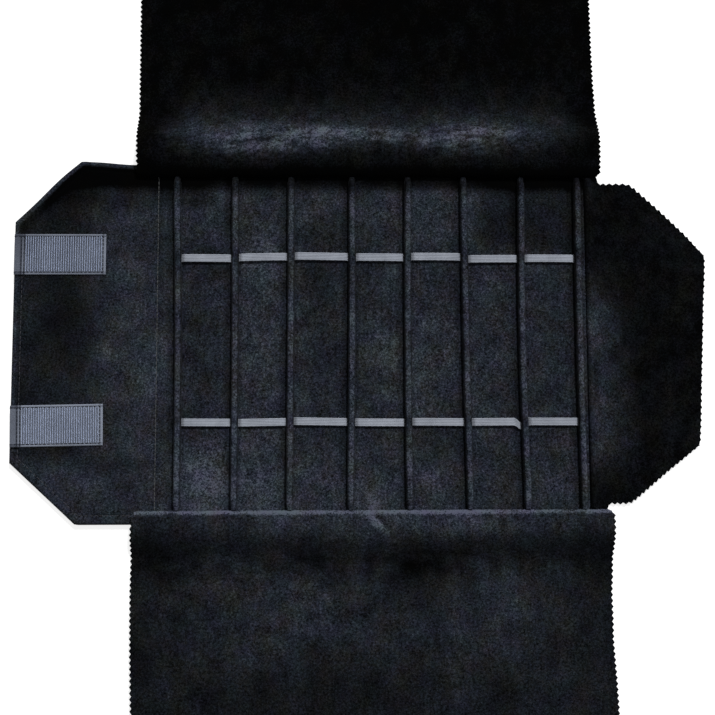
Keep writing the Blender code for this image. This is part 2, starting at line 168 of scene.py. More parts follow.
def movePoints(piece, change):  # change: from places in millimetres to places in millimetres
    mesh = piece.data
    moved = (change(pointsOf(mesh).reshape(-1, 3) / mm) * mm).astype(np.float32).ravel()
    mesh.vertices.foreach_set("co", moved)
    mesh.attributes["restPlace"].data.foreach_set("vector", moved)
    mesh.update()


def pieceFrom(name, points, faces, material, nap=None):
    mesh = bpy.data.meshes.new(name)
    mesh.from_pydata((np.asarray(points, float).reshape(-1, 3) * mm).tolist(), [], faces)
    mesh.materials.append(material)
    # a point value of tone with painted light and shade in it, which the materials read
    if nap is not None:
        attribute = mesh.attributes.new("nap", "FLOAT", "POINT")
        attribute.data.foreach_set("value", np.asarray(nap, np.float32).ravel())
    return finishedPiece(name, mesh)


def gridFaces(rows, cols, first=0, flip=False):
    corner = first + np.arange(rows - 1)[:, None] * cols + np.arange(cols - 1)
    quads = np.stack([corner, corner + 1, corner + cols + 1, corner + cols], -1).reshape(-1, 4)
    return (quads[:, ::-1] if flip else quads).tolist()


def closedFaces(rows, cols):  # a top grid, a bottom grid and the rim between them
    count = rows * cols
    faces = gridFaces(rows, cols) + gridFaces(rows, cols, count, flip=True)
    ring = list(range(cols)) + [r * cols + cols - 1 for r in range(1, rows)]
    ring += [(rows - 1) * cols + c for c in range(cols - 2, -1, -1)] + [r * cols for r in range(rows - 2, 0, -1)]
    return faces + [(a + count, b + count, b, a) for a, b in zip(ring, ring[1:] + ring[:1])]


def closedPiece(name, top, bottom, material, nap=None):
    rows, cols = top.shape[:2]
    faces = closedFaces(rows, cols)
    if np.cross(top[0, 1] - top[0, 0], top[1, 0] - top[0, 0])[2] < 0:  # the rows run the other way round
        faces = [face[::-1] for face in faces]
    points = np.concatenate([top.reshape(-1, 3), bottom.reshape(-1, 3)])
    if nap is not None:
        nap = np.concatenate([nap.ravel(), nap.ravel()])
    return pieceFrom(name, points, faces, material, nap)


def shell(name, place, along, across, thickness, material, nap):
    # A cloth of the given thickness about place(along, across), which gives the middle of it
    step = 0.05
    middle = place(along, across)
    a = place(along + step, across) - place(along - step, across)
    b = place(along, across + step) - place(along, across - step)
    normal = np.cross(a, b)
    normal /= np.linalg.norm(normal, axis=-1, keepdims=True)
    if normal[..., 2].mean() < 0:
        normal = -normal
    return closedPiece(name, middle + normal * thickness / 2, middle - normal * thickness / 2, material, nap)


def dress(piece, nodes, body=None, joint=None):
    # body: what it rides on. joint: two bodies and a start and end along X or Y, which are not used; without a body
    # the piece is only fixed in place
    if nodes:
        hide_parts(*nodes)
    if body:
        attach(piece, body)
    else:
        a, b, start, end = joint
        [v * mm for v in start]
        [v * mm for v in end]
        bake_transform(piece)


# Node trees: a Wire takes part in Python arithmetic, and a Graph adds every other node

class Wire:
    def __init__(self, graph, socket):
        self.graph, self.socket = graph, socket

    def calc(self, operation, *values, clamp=False):
        settings = {"operation": operation, "use_clamp": clamp}
        return self.graph.add("ShaderNodeMath", settings, dict(enumerate(values)))

    def __add__(self, other):
        return self.calc("ADD", self, other)

    def __sub__(self, other):
        return self.calc("SUBTRACT", self, other)

    def __rsub__(self, other):
        return self.calc("SUBTRACT", other, self)

    def __mul__(self, other):
        return self.calc("MULTIPLY", self, other)

    def __truediv__(self, other):
        return self.calc("DIVIDE", self, other)

    __radd__, __rmul__ = __add__, __mul__

    def limited(self):
        return self.calc("ADD", self, 0.0, clamp=True)

    def beside(self, name):  # another output of the same node
        return Wire(self.graph, self.socket.node.outputs[name])


class Graph:
    def __init__(self, tree):
        self.tree = tree

    def add(self, kind, settings=None, values=None, out=0):
        made = self.tree.nodes.new(kind)
        for key, value in (settings or {}).items():
            if key == "stops":
                ramp = made.color_ramp
                while len(ramp.elements) < len(value):
                    ramp.elements.new(1)
                for element, (place, colour) in zip(ramp.elements, value):
                    element.position, element.color = place, (*colour, 1)
            else:
                setattr(made, key, value)
        for key, value in (values or {}).items():
            self.feed(made.inputs[key], value)
        return Wire(self, made.outputs[out]) if made.outputs else None

    def feed(self, socket, value):
        if isinstance(value, Wire):
            self.tree.links.new(value.socket, socket)
        else:
            socket.default_value = value

    def mix(self, share, first, second):  # two colours
        first, second = ((*value, 1) if isinstance(value, tuple) else value for value in (first, second))
        return self.add("ShaderNodeMix", {"data_type": "RGBA"}, {0: share, 6: first, 7: second}, 2)

    def times(self, vector, scale):
        return self.add("ShaderNodeVectorMath", {"operation": "MULTIPLY"}, {0: vector, 1: scale})

    def named(self, attribute, out="Fac"):
        return self.add("ShaderNodeAttribute", {"attribute_name": attribute}, out=out)

    def grain(self, vector, size, detail, roughness):  # size in millimetres
        values = {"Vector": vector, "Scale": 1 / (size * mm), "Detail": detail, "Roughness": roughness}
        return self.add("ShaderNodeTexNoise", None, values)

    def tube(self, line, sides, radius):
        ring = self.add("GeometryNodeCurvePrimitiveCircle", None, {"Resolution": sides, "Radius": radius})
        return self.add("GeometryNodeCurveToMesh", None, {"Curve": line, "Profile Curve": ring, "Fill Caps": True})


class Finish(Graph):  # a material with its Principled shader
    def __init__(self, name, fixed):
        self.material = bpy.data.materials.new(name)
        self.material.use_nodes = True
        super().__init__(self.material.node_tree)
        self.shader = self.tree.nodes["Principled BSDF"]
        for label, value in fixed.items():
            self.shader.inputs[label].default_value = value
        self.place = self.named("restPlace", "Vector")

    def close(self, colour, height, depth, strength=0.5):  # depth of the relief in millimetres
        values = {"Strength": strength, "Distance": depth * mm, "Height": height}
        self.feed(self.shader.inputs["Base Color"], colour)
        self.feed(self.shader.inputs["Normal"], self.add("ShaderNodeBump", None, values))
        return self.material


# Velour: sizes of its grain in millimetres, and its colours from black to fully lit
velourLook = {
    "patches": 13, "brushed": 3.4, "tufts": 1.3, "pile": 0.5, "lint": 1.7, "dye": 16, "stain": 11,
    "cool": [(0.0, (0.0005, 0.0006, 0.0007)), (0.25, (0.0061, 0.0072, 0.0095)), (0.5, (0.0148, 0.0190, 0.0282)),
             (0.75, (0.0325, 0.0395, 0.0560)), (1.0, (0.072, 0.083, 0.114))],
    "warm": [(0.0, (0.0008, 0.0007, 0.0005)), (0.25, (0.0076, 0.0075, 0.0070)), (0.5, (0.0196, 0.0197, 0.0206)),
             (0.75, (0.0385, 0.0410, 0.0490)), (1.0, (0.076, 0.085, 0.104))],
    "violetTinge": (1.02, 0.90, 1.03), "greenTinge": (0.97, 1.10, 0.95),
}


def velour(name, sheen):
    # The point value it reads holds the pile's tone with painted light and shade in it: 0 is the middle of the scale,
    # and -0.5 is black
    look = velourLook
    cloth = Finish(name, {
        "Roughness": 0.95, "Specular IOR Level": 0.01, "Sheen Weight": sheen,
        "Sheen Roughness": 0.4, "Sheen Tint": (0.66, 0.69, 0.78, 1),
    })

    def grain(kind, detail, roughness, stretch=None):
        place = cloth.times(cloth.place, stretch) if stretch else cloth.place
        return cloth.grain(place, look[kind], detail, roughness)

    patches, brushed = grain("patches", 3, 0.5), grain("brushed", 3, 0.6, (1.0, 0.5, 1.0))
    tufts, pile = grain("tufts", 2, 0.7), grain("pile", 1, 0.5)
    lint, dye = grain("lint", 2, 0.6, (1.0, 1.0, 0.0)), grain("dye", 4, 0.6, (1.0, 0.7, 0.3))
    stain = grain("stain", 3, 0.6, (0.8, 1.0, 0.5))
    uneven = (patches - 0.5) * 0.8 + (brushed - 0.5) * 1.1 + (tufts - 0.5) * 2.2 + (pile - 0.5) * 1.5
    flecks = (tufts - 0.5) * 0.35 + (pile - 0.5) * 0.25
    shade = ((cloth.named("nap") + 0.5) * (uneven + 1.0) + flecks).limited()
    tints = [cloth.add("ShaderNodeValToRGB", {"stops": look[kind]}, {0: shade}) for kind in ("cool", "warm")]
    warmth = ((lint - 0.5) * 1.8 + (dye - 0.5) * 3.6 + 0.32).limited()
    tinge = cloth.mix(((stain - 0.5) * 3.0 + 0.5).limited(), look["violetTinge"], look["greenTinge"])
    return cloth.close(cloth.times(cloth.mix(warmth, *tints), tinge), tufts * 0.6 + pile * 0.5 + brushed * 0.4, 0.3)


def wovenCloth(name, dark, light, pitch, roughness, sheen, toned=False):
    # Plain weave: two sets of threads that pass over and under each other. The flag makes it lighter and darker by
    # the point value of tone, with painted shade in it
    cloth = Finish(name, {
        "Roughness": roughness, "Specular IOR Level": 0.3, "Sheen Weight": sheen, "Sheen Roughness": 0.5,
    })
    turns = [cloth.add("ShaderNodeSeparateXYZ", None, {0: cloth.place}, axis) * (pi / (pitch * mm)) for axis in "XY"]
    over = turns[0].calc("SINE", turns[0]) * turns[1].calc("SINE", turns[1])
    thread = over.calc("ABSOLUTE", over)
    fuzz, faded = cloth.grain(cloth.place, 0.6, 3, 0.6), cloth.grain(cloth.place, 30, 3, 0.55)
    share = thread * 0.5 + fuzz * 0.6 + (faded - 0.5) * 0.8 - 0.05
    if toned:
        share = share * 0.6 + cloth.named("nap")
    return cloth.close(cloth.mix(share.limited(), dark, light), thread + fuzz * 0.4, 0.12)


def threadMaterial(name, dark, light, roughness=0.6, gloss=0.35, sheen=0.15):
    yarn = Finish(name, {"Roughness": roughness, "Specular IOR Level": gloss, "Sheen Weight": sheen})
    fuzz, toned = yarn.grain(yarn.place, 0.5, 2, 0.6), yarn.grain(yarn.place, 6, 3, 0.6)
    return yarn.close(yarn.mix((fuzz * 0.7 + toned * 0.7 - 0.2).limited(), dark, light), fuzz, 0.1, 0.4)


def elasticMaterial():
    # Knitted rubber threads along X, crossed by fine weft
    knit = Finish("woven_elastic", {"Roughness": 0.7, "Specular IOR Level": 0.3, "Sheen Weight": 0.2})
    turn = knit.add("ShaderNodeSeparateXYZ", None, {0: knit.place}, "X") * (2 * pi / (0.7 * mm))
    weft = turn.calc("SINE", turn) * 0.5 + 0.5
    fuzz, soiled = knit.grain(knit.place, 0.5, 2, 0.6), knit.grain(knit.place, 9, 3, 0.6)
    share = (knit.named("nap") * 0.55 + weft * 0.15 + fuzz * 0.4 + (soiled - 0.5) * 0.7).limited()
    return knit.close(knit.mix(share, (0.09, 0.10, 0.125), (0.325, 0.352, 0.41)), weft * 0.5 + fuzz, 0.1)


velourLining = velour("charcoal_velour", 0.06)
velourFlaps = velour("black_velour", 0.015)
coverCloth = wovenCloth("black_cotton", (0.0022, 0.0022, 0.0026), (0.010, 0.010, 0.0115), 0.45, 0.9, 0.03)
tapeWeave = wovenCloth("grey_tape_weave", (0.018, 0.022, 0.036), (0.33, 0.37, 0.46), 0.5, 0.7, 0.1, toned=True)
loopWeave = wovenCloth("grey_loop_weave", (0.05, 0.06, 0.085), (0.15, 0.175, 0.23), 0.5, 0.75, 0.1)
hookNylon = threadMaterial("grey_nylon_hooks", (0.20, 0.243, 0.338), (0.60, 0.695, 0.935), 0.45)
loopNylon = threadMaterial("grey_nylon_loops", (0.06, 0.07, 0.095), (0.16, 0.18, 0.23), 0.6)
stitchDark = threadMaterial("dark_thread", (0.003, 0.004, 0.007), (0.014, 0.016, 0.023), 0.8, 0.1, 0.0)
stitchHem = threadMaterial("slate_thread", (0.006, 0.0065, 0.0095), (0.021, 0.021, 0.031))
stitchGrey = threadMaterial("charcoal_thread", (0.022, 0.024, 0.025), (0.066, 0.070, 0.072))
cordCotton = threadMaterial("cotton_cord", (0.36, 0.33, 0.27), (0.68, 0.64, 0.55), 0.85)
elasticKnit = elasticMaterial()
print("materials made")


# Geometry trees

def geometryTree(name, lengths, counts=(), others=()):
    # The inputs are named. Those in lengths are given in millimetres
    tree = bpy.data.node_groups.new(name, "GeometryNodeTree")
    kinds = {"Geometry": "Geometry", "Material": "Material"}
    kinds |= {label: "Float" for label in (*lengths, *others)} | {label: "Int" for label in counts}
    for label, kind in kinds.items():
        socket = tree.interface.new_socket(label, in_out="INPUT", socket_type=f"NodeSocket{kind}")
        if label in lengths:
            socket.subtype = "DISTANCE"
    tree.interface.new_socket("Geometry", in_out="OUTPUT", socket_type="NodeSocketGeometry")
    graph = Graph(tree)
    inputs = graph.add("NodeGroupInput").socket.node.outputs
    return graph, {socket.name: Wire(graph, socket) for socket in inputs if socket.name}


def closeTree(graph, material, values):
    # One of the given shapes on every point, made real and given its material
    laid = graph.add("GeometryNodeInstanceOnPoints", None, values)
    real = graph.add("GeometryNodeRealizeInstances", None, {0: laid})
    dressed = graph.add("GeometryNodeSetMaterial", None, {"Geometry": real, "Material": material})
    graph.add("NodeGroupOutput", None, {0: dressed})
    return graph.tree


def grown(name, tree, points, values):
    # Runs a tree on a line of points, and keeps the result as a plain mesh
    mesh = bpy.data.meshes.new(name)
    edges = [(n, n + 1) for n in range(len(points) - 1)]
    mesh.from_pydata((np.asarray(points, float) * mm).tolist(), edges, [])
    seed = newObject(name, mesh)
    modifier = seed.modifiers.new("grow", "NODES")
    modifier.node_group = tree
    for item in tree.interface.items_tree:
        if item.in_out == "INPUT" and item.name in values:
            length = getattr(item, "subtype", "") == "DISTANCE"
            modifier[item.identifier] = values[item.name] * mm if length else values[item.name]
    result = bpy.data.meshes.new_from_object(seed.evaluated_get(bpy.context.evaluated_depsgraph_get()))
    bpy.data.objects.remove(seed)
    result.name = name
    return finishedPiece(name, result, 60)


def stitchTree():
    graph, given = geometryTree("stitches", ("Pitch", "Stitch", "Thread", "Rise", "Sink"))
    line = graph.add("GeometryNodeMeshToCurve", None, {0: given["Geometry"]})
    spaced = graph.add("GeometryNodeResampleCurve", {"mode": "LENGTH"}, {"Curve": line, "Length": given["Pitch"]})
    points = graph.add("GeometryNodeCurveToPoints", {"mode": "EVALUATED"}, {0: spaced})
    alongLine = {"axis": "X", "pivot_axis": "Z"}
    turned = graph.add("FunctionNodeAlignRotationToVector", alongLine, {"Vector": points.beside("Tangent")})
    half, low = given["Stitch"] * 0.5, given["Sink"] * -1.0
    start, end = (graph.add("ShaderNodeCombineXYZ", None, {"X": half * sign, "Z": low}) for sign in (-1.0, 1.0))
    middle = graph.add("ShaderNodeCombineXYZ", None, {"Z": given["Rise"] * 2.0 + given["Sink"]})
    shape = {"Resolution": 6, "Start": start, "Middle": middle, "End": end}
    stitch = graph.tube(graph.add("GeometryNodeCurveQuadraticBezier", None, shape), 6, given["Thread"])
    return closeTree(graph, given["Material"], {"Points": points, "Instance": stitch, "Rotation": turned})


def fieldTree():
    # Rows of one bent thread on a grid, each turned and sized a little differently
    lengths, counts = ("Length", "Width", "Thread"), ("Rows", "Columns", "Seed")
    graph, given = geometryTree("threadField", lengths, counts, ("Turn", "Uneven"))
    thread = graph.tube(graph.add("GeometryNodeMeshToCurve", None, {0: given["Geometry"]}), 4, given["Thread"])
    grid = graph.add("GeometryNodeMeshGrid", None, {
        "Size X": given["Length"], "Size Y": given["Width"],
        "Vertices X": given["Rows"], "Vertices Y": given["Columns"],
    })

    def chance(low, high, offset):
        values = {2: low, 3: high, "Seed": given["Seed"] + offset}
        return graph.add("FunctionNodeRandomValue", {"data_type": "FLOAT"}, values, 1)

    turned = graph.add("ShaderNodeCombineXYZ", None, {"Z": chance(given["Turn"] * -1.0, given["Turn"], 1.0)})
    size = chance(1.0 - given["Uneven"], 1.0 + given["Uneven"], 2.0)
    values = {"Points": grid, "Instance": thread, "Rotation": turned, "Scale": size}
    return closeTree(graph, given["Material"], values)


def cordTree():
    # Strands twisted round each other along Z
    graph, given = geometryTree("twistedCord", ("Length", "Offset", "Strand"), ("Strands",), ("Turns",))
    spiral = graph.add("GeometryNodeCurveSpiral", None, {
        "Resolution": 12, "Rotations": given["Turns"], "Start Radius": given["Offset"],
        "End Radius": given["Offset"], "Height": given["Length"],
    })
    strand = graph.tube(spiral, 8, given["Strand"])
    points = graph.add("GeometryNodePoints", None, {"Count": given["Strands"]})
    angle = graph.add("GeometryNodeInputIndex") * (2 * pi) / given["Strands"]
    turned = graph.add("ShaderNodeCombineXYZ", None, {"Z": angle})
    return closeTree(graph, given["Material"], {"Points": points, "Instance": strand, "Rotation": turned})


stitchesOn, threadField, twistedCord = stitchTree(), fieldTree(), cordTree()


def stitches(name, points, material, pitch, length, thread, rise=0.12, sink=0.25):
    values = {"Pitch": pitch, "Stitch": length, "Thread": thread, "Rise": rise, "Sink": sink, "Material": material}
    return grown(name, stitchesOn, points, values)


# Outline of the panel with the closing flap, whose two corners are cut

outline = {
    "cornerAlong": 40.0, "cornerAcross": 37.0, "liningInset": 0.6, "flare": 0.014, "flareReach": 25,
    "cornerFlare": 0.018, "cornerX": -183, "cornerReach": 13,
}


def halfHeight(x, inset=0.0):
    along = np.clip((x - leftEnd - inset) / outline["cornerAlong"], 0, 1)
    return panelEdge - inset - outline["cornerAcross"] * (1 - along)


def flared(x, y):  # the closing flap's upper edge stands out a little
    more = outline["flare"] * smooth((closingCut - 1 - x) / outline["flareReach"])
    more = more + outline["cornerFlare"] * bump((x - outline["cornerX"]) / outline["cornerReach"])
    return y * (1 + more * (np.asarray(y) > 0))


def fromEdge(x, y, inset=0.0):  # distance in from the outline
    left, edge = leftEnd + inset, panelEdge - inset
    a, b = outline["cornerAlong"], outline["cornerAcross"]
    corner = ((x - left) / a + (edge - np.abs(y)) / b - 1) / sqrt(1 / a**2 + 1 / b**2)
    return np.minimum(np.minimum(edge - np.abs(y), x - left), corner)


def rolledEdge(distance, radius):  # how far the surface drops near a rounded edge
    t = np.clip(1 - distance / radius, 0, 1)
    return radius * (1 - np.sqrt(1 - t * t))


def panelGrid(xs, share, inset=0.0):  # share: from -1 at the lower edge to 1 at the upper one
    x = columns(xs, len(share))
    return x, share[None, :] * halfHeight(x, inset)


def onPanel(x, y, z):
    return np.stack([x, flared(x, y), z + 0 * x], -1)


def nodesOf(part, flap, panel):  # what cloth part 0 to 7 stands for
    return [f"{flap}_tip"] if part == 0 else [f"{flap}_root"] * (part == 1) + [f"{panel}_{part}"]


def bendAt(part, reach):
    # The two bodies that cloth part 0 to 7 bends between, and where
    if part == 0:
        return "closing_flap_root", "closing_flap_tip", (foldX + reach, 0, 0), (foldX - reach, 0, 0)
    before = "closing_flap_root" if part == 1 else f"channel_{part - 1}"
    x = ribX[part - 1]
    return before, f"channel_{part}", (x - reach, 0, 0), (x + reach, 0, 0)


# Velour lining: one cloth, parted in the middle of each channel, in a valley under every rib

lining = {
    "bottom": coverTop + 0.12, "crown": 0.35, "crownEnd": 98, "crownFade": 20, "valleyZ": coverTop + 0.28,
    "valleyFloor": 1.8, "valleyReach": 4.7, "valleySlope": 0.42, "slopeReach": 2.4, "edgeRadius": 1.3,
    "stitchFromEdge": 5.0, "stitchDepth": 0.38, "stitchReach": 0.8, "tuckX": ribX[0] - 12.0, "tuckDepth": 0.38,
    "tuckReach": 0.9, "end": coverEnd - 2.0, "step": 1.25, "waves": 0.10, "ripples": 0.06, "bend": 4.2,
}
# How its pile lies: darker and lighter channels, and spots as marks() takes them
channelTones = (-0.13, 0.07, -0.08, -0.02, -0.02, 0.0, -0.05)
liningSpots = [(-186, 10, 13, 22, -0.12), (-94, -78, 12, 22, 0.24), (-3, -2, 6, 24, -0.10)]


def onClosingFlap(x):
    return smooth((closingCut + 6 - x) / 4)


def liningHeight(x, y):
    z = liningTop + lining["waves"] * softNoise(x, y, 17, 3) + lining["ripples"] * softNoise(x, y, 6, 4)
    for left, right in zip(ribX, ribX[1:]):
        t = np.clip((x - left) / (right - left), 0, 1)
        ends = smooth((lining["crownEnd"] - np.abs(y)) / lining["crownFade"])
        z = z + lining["crown"] * np.sin(pi * t) ** 1.5 * ends
    floor = lining["valleyFloor"]
    for index in range(8):
        d = np.abs(x - ribLine(index, y))
        valley = lining["valleyZ"] + lining["valleySlope"] * np.minimum(d, lining["slopeReach"])
        z = valley + (z - valley) * smooth((d - floor) / (lining["valleyReach"] - floor))
    z = z - lining["tuckDepth"] * bump((x - lining["tuckX"]) / lining["tuckReach"])
    d = fromEdge(x, y, outline["liningInset"])
    sewn = bump((d - lining["stitchFromEdge"]) / lining["stitchReach"])
    z = z - lining["stitchDepth"] * sewn * onClosingFlap(x)
    return z - rolledEdge(d, lining["edgeRadius"])


def liningToneAndPaintedLight(x, y):
    nap = 0.07 * softNoise(x, y, 30, 11) + 0.06 * softNoise(x, y, 11, 12) - 0.02 + marks(x, y, liningSpots)
    for index in range(8):  # painted shade on the left of each rib, and a painted highlight on its right
        d = x - ribLine(index, y)
        nap = nap - 0.14 * band(d, -8.5, 5, 0, 2) + 0.06 * bump((d - 3.5) / 2)
    for index, tone in enumerate(channelTones):
        nap = nap + tone * bump((x - midX[index]) / 15) * smooth((68 - np.abs(y)) / 15)
    # closing flap: lighter beside rib 1 and the tuck, darker towards its tip and between the tapes
    low, flap = smooth((-62 - y) / 14), onClosingFlap(x)
    nap = nap + 0.05 * band(x, -120.5, 1.5, -112.0, 2) + 0.05 * band(x, -160, 25, -120, 2)
    nap = nap - 0.24 * smooth((-150 - x) / 25) * (1 - 0.85 * low) - 0.18 * low * bump((x + 143) / 16)
    # darker at the upper right ends of the channels, painted shadow along the top seam under the top flap's hump,
    # painted shade in the upper left, lighter towards the lower edge, and a painted highlight beside the crease
    nap = nap - 0.22 * smooth((x - 60) / 30) * smooth((y - 45) / 20) - 0.46 * smooth((y - 90) / 9)
    nap = nap - 0.20 * smooth((y - 76) / 12) * smooth((-78 - x) / 20)
    nap = nap + 0.09 * smooth((-72 - y) / 12) * smooth((70 - x) / 30)
    nap = nap + 0.35 * bump((x - 8.0) / 2.2) * smooth((-91 - y) / 6)
    d = fromEdge(x, y, outline["liningInset"])
    # painted shade inside the closing flap's edge, towards its top
    nap = nap - 0.20 * flap * bump((d - 6) / 3) * smooth((y - 55) / 25)
    rim = smooth((3.8 - d) / 1.8) * flap  # the closing flap's turned edge is even and mid grey
    return nap * (1 - rim) - 0.01 * rim


def makeLining():
    inset = outline["liningInset"]
    edge = panelEdge - inset
    stitchIn = lining["stitchFromEdge"]
    half = ticks(0, edge, lining["step"], fine=[(edge, 1.6, 0.3), (edge - stitchIn, 1.2, 0.45)])
    share = np.concatenate([-half[::-1], half[1:]]) / edge
    cuts = [leftEnd + inset, closingCut, *midX[:6], lining["end"]]
    for part, (left, right) in enumerate(zip(cuts, cuts[1:])):
        fine = [(rib, 6.0, 0.55) for rib in ribX] + [(lining["tuckX"], 1.5, 0.4)]
        if part == 0:
            fine += [(left, 1.6, 0.3), (left + stitchIn, 1.2, 0.45), (foldX, 5, 0.8)]
        x, y = panelGrid(ticks(left, right, lining["step"], fine), share, inset)
        top, bottom = onPanel(x, y, liningHeight(x, y)), onPanel(x, y, lining["bottom"])
        piece = closedPiece(f"lining_cloth_{part}", top, bottom, velourLining, liningToneAndPaintedLight(x, y))
        nodes = nodesOf(part, "closing_flap_lining", "lining")
        dress(piece, nodes, joint=bendAt(part, lining["bend"]))


# Outer cover: black cotton under everything, sewn through along each rib

cover = {
    "edgeRadius": 0.9, "groove": 0.45, "grooveReach": 0.9, "tapeSeat": 0.98, "tapeMargin": 0.25, "tapeStep": 0.12,
    "lowest": 0.02, "waves": 0.05, "gap": 0.02, "step": 2.5, "bend": 2.4,
    "allowance": 3.2, "allowanceFrom": 98.6, "allowanceTo": 107,
}
loopBoxes = {place: boxOf(f"loop_tape_{place}") for place in ("upper", "lower")}


def coverBottom(x, y):
    z = cover["lowest"] + cover["waves"] * (1 + softNoise(x, y, 22, 21))
    inner = smooth((panelEdge - 6 - np.abs(y)) / 3)
    for rib in ribX:
        z = z + cover["groove"] * bump((x - rib) / cover["grooveReach"]) * inner
    z = z + rolledEdge(fromEdge(x, y), cover["edgeRadius"])
    m = cover["tapeMargin"]
    for low, high in loopBoxes.values():
        inside = np.minimum.reduce([x - low.x + m, high.x - x + m, y - low.y + m, high.y - y + m])
        z = np.maximum(z, cover["tapeSeat"] * smooth(inside / cover["tapeStep"] + 1))
    return z


def makeCover():
    cuts = [leftEnd, closingCut, *midX[:6], coverEnd]
    margins = [cover["tapeMargin"], cover["tapeMargin"] + cover["tapeStep"]]
    signed = [(side, sign * m) for box in loopBoxes.values() for side, sign in zip(box, (-1, 1)) for m in margins]
    edge = ticks(0, panelEdge, cover["step"], fine=[(panelEdge, 1.2, 0.3)])
    tapeEdges = [side.y + m for side, m in signed]
    share = np.unique(np.round(np.concatenate([-edge[::-1], edge, tapeEdges]), 4)) / panelEdge
    for part, (left, right) in enumerate(zip(cuts, cuts[1:])):
        fine = [(rib, 2.6, 0.45) for rib in ribX]
        if part == 0:
            fine += [(left, 1.2, 0.3), (foldX, 5, 0.8)]
        exact = sorted({side.x + m for side, m in signed[:4]}) if part in (6, 7) else ()
        x, y = panelGrid(ticks(left, right, cover["step"], fine, exact), share)
        rolled = rolledEdge(fromEdge(x, y), cover["edgeRadius"])
        if part == 7:  # seam allowance that shows at both ends of the end flap's seam
            shown = band(np.abs(y), cover["allowanceFrom"], 1.2, cover["allowanceTo"], 4)
            x = x + cover["allowance"] * shown * smooth((x - right + 6) / 6)
        top, bottom = onPanel(x, y, coverTop - cover["gap"] - rolled), onPanel(x, y, coverBottom(x, y))
        piece = closedPiece(f"cover_cloth_{part}", top, bottom, coverCloth)
        nodes = nodesOf(part, "closing_flap_cover", "outer_cover")
        dress(piece, nodes, joint=bendAt(part, cover["bend"] if part else lining["bend"]))
        size = ((right - left) * mm, 2 * panelEdge * mm)
        area = size[0] * size[1] - (0 if part else outline["cornerAlong"] * outline["cornerAcross"] * mm * mm)


makeLining()
makeCover()
print("lining and cover made")


# Seams: topstitching round the closing flap, the tuck beside rib 1, and the rib seams underneath

seams = {
    # pitch, length and thread of the stitches
    "hem": (3.1, 2.3, 0.17), "tuck": (2.9, 2.4, 0.17), "rib": (3.0, 2.3, 0.17),
    "below": (-0.1, -0.1),  # rise and sink where they are seen from below
    "hemLift": 0.08, "hemSink": 0.4, "hemUnderZ": 0.30, "tuckLift": 0.16, "tuckEnd": 103.5,
    "ribZ": 0.34, "ribEnd": 103,
}


def insetCorners(x, distance):
    # The closing flap's outline, moved in by a distance, from its right end at the top round to the bottom
    a, b = outline["cornerAlong"], outline["cornerAcross"]
    left, edge = leftEnd + outline["liningInset"] + distance, panelEdge - outline["liningInset"] - distance
    slope = sqrt(1 / a**2 + 1 / b**2) * distance
    along = a * (1 + slope) - distance * (1 + a / b)
    across = b * (1 + slope) - distance * (1 + b / a)
    upper = [(x, edge), (left + along, edge), (left, edge - across)]
    return upper + [(px, -py) for px, py in reversed(upper)]


def dense(corners, step=1.0):
    points = []
    for (x0, y0), (x1, y1) in zip(corners, corners[1:]):
        count = max(int(sqrt((x1 - x0) ** 2 + (y1 - y0) ** 2) / step), 1)
        points += [(x0 + (x1 - x0) * n / count, y0 + (y1 - y0) * n / count) for n in range(count)]
    return points + [corners[-1]]


def onLining(points, lift):
    x, y = np.array(points, float).T
    return np.column_stack([x, flared(x, y), liningHeight(x, y) + lift])


def makeSeams():
    corners = insetCorners(closingCut + 1, lining["stitchFromEdge"])
    line = onLining(dense(corners), seams["hemLift"])
    line[:, 2] -= seams["hemSink"] * smooth((line[:, 1] - 30) / 30)  # into the pile towards the upper corner
    hem = stitches("closing_flap_topstitching", line, stitchHem, *seams["hem"])
    dress(hem, [], joint=bendAt(0, lining["bend"]))
    under = [(x, float(flared(x, y)), seams["hemUnderZ"]) for x, y in dense(corners)]
    back = stitches("closing_flap_understitching", under, stitchDark, *seams["hem"], *seams["below"])
    dress(back, [], joint=bendAt(0, lining["bend"]))
    ends = [(lining["tuckX"], side * seams["tuckEnd"]) for side in (1, -1)]
    tuck = onLining(dense(ends), seams["tuckLift"])
    dress(stitches("tuck_stitching", tuck, stitchGrey, *seams["tuck"]), [], body="closing_flap_root")
    for number, rib in enumerate(ribX, start=1):
        line = [(rib, y, seams["ribZ"]) for y in np.linspace(-seams["ribEnd"], seams["ribEnd"], 104)]
        seam = stitches(f"rib_seam_{number}", line, stitchDark, *seams["rib"], *seams["below"])
        if number == 8:
            dress(seam, [], body="channel_7")
        else:
            dress(seam, [], joint=bendAt(number, cover["bend"]))


makeSeams()
print("seams made")


# Ribs: a velour sleeve drawn round a twisted cord, its foot sewn down into the lining's valley

rib = {
    "radius": ribRadius, "neck": 1.05, "foot": 1.9, "footZ": 2.62, "bore": ribRadius - 0.95, "arcSteps": 30,
    "stations": 112, "sway": 0.15, "rise": 0.10, "settle": 0.08, "plump": 0.035, "end": seamY - 0.95, "taper": 5.0,
    "endScale": 0.72, "waistZ": 3.2, "sewnZ": 3.0, "freeOver": 1.2,  # the foot stays sewn down below sewnZ
}
cord = {"strands": 3, "strand": 0.55, "offset": 0.6, "pitch": 9.0, "end": 96.0}


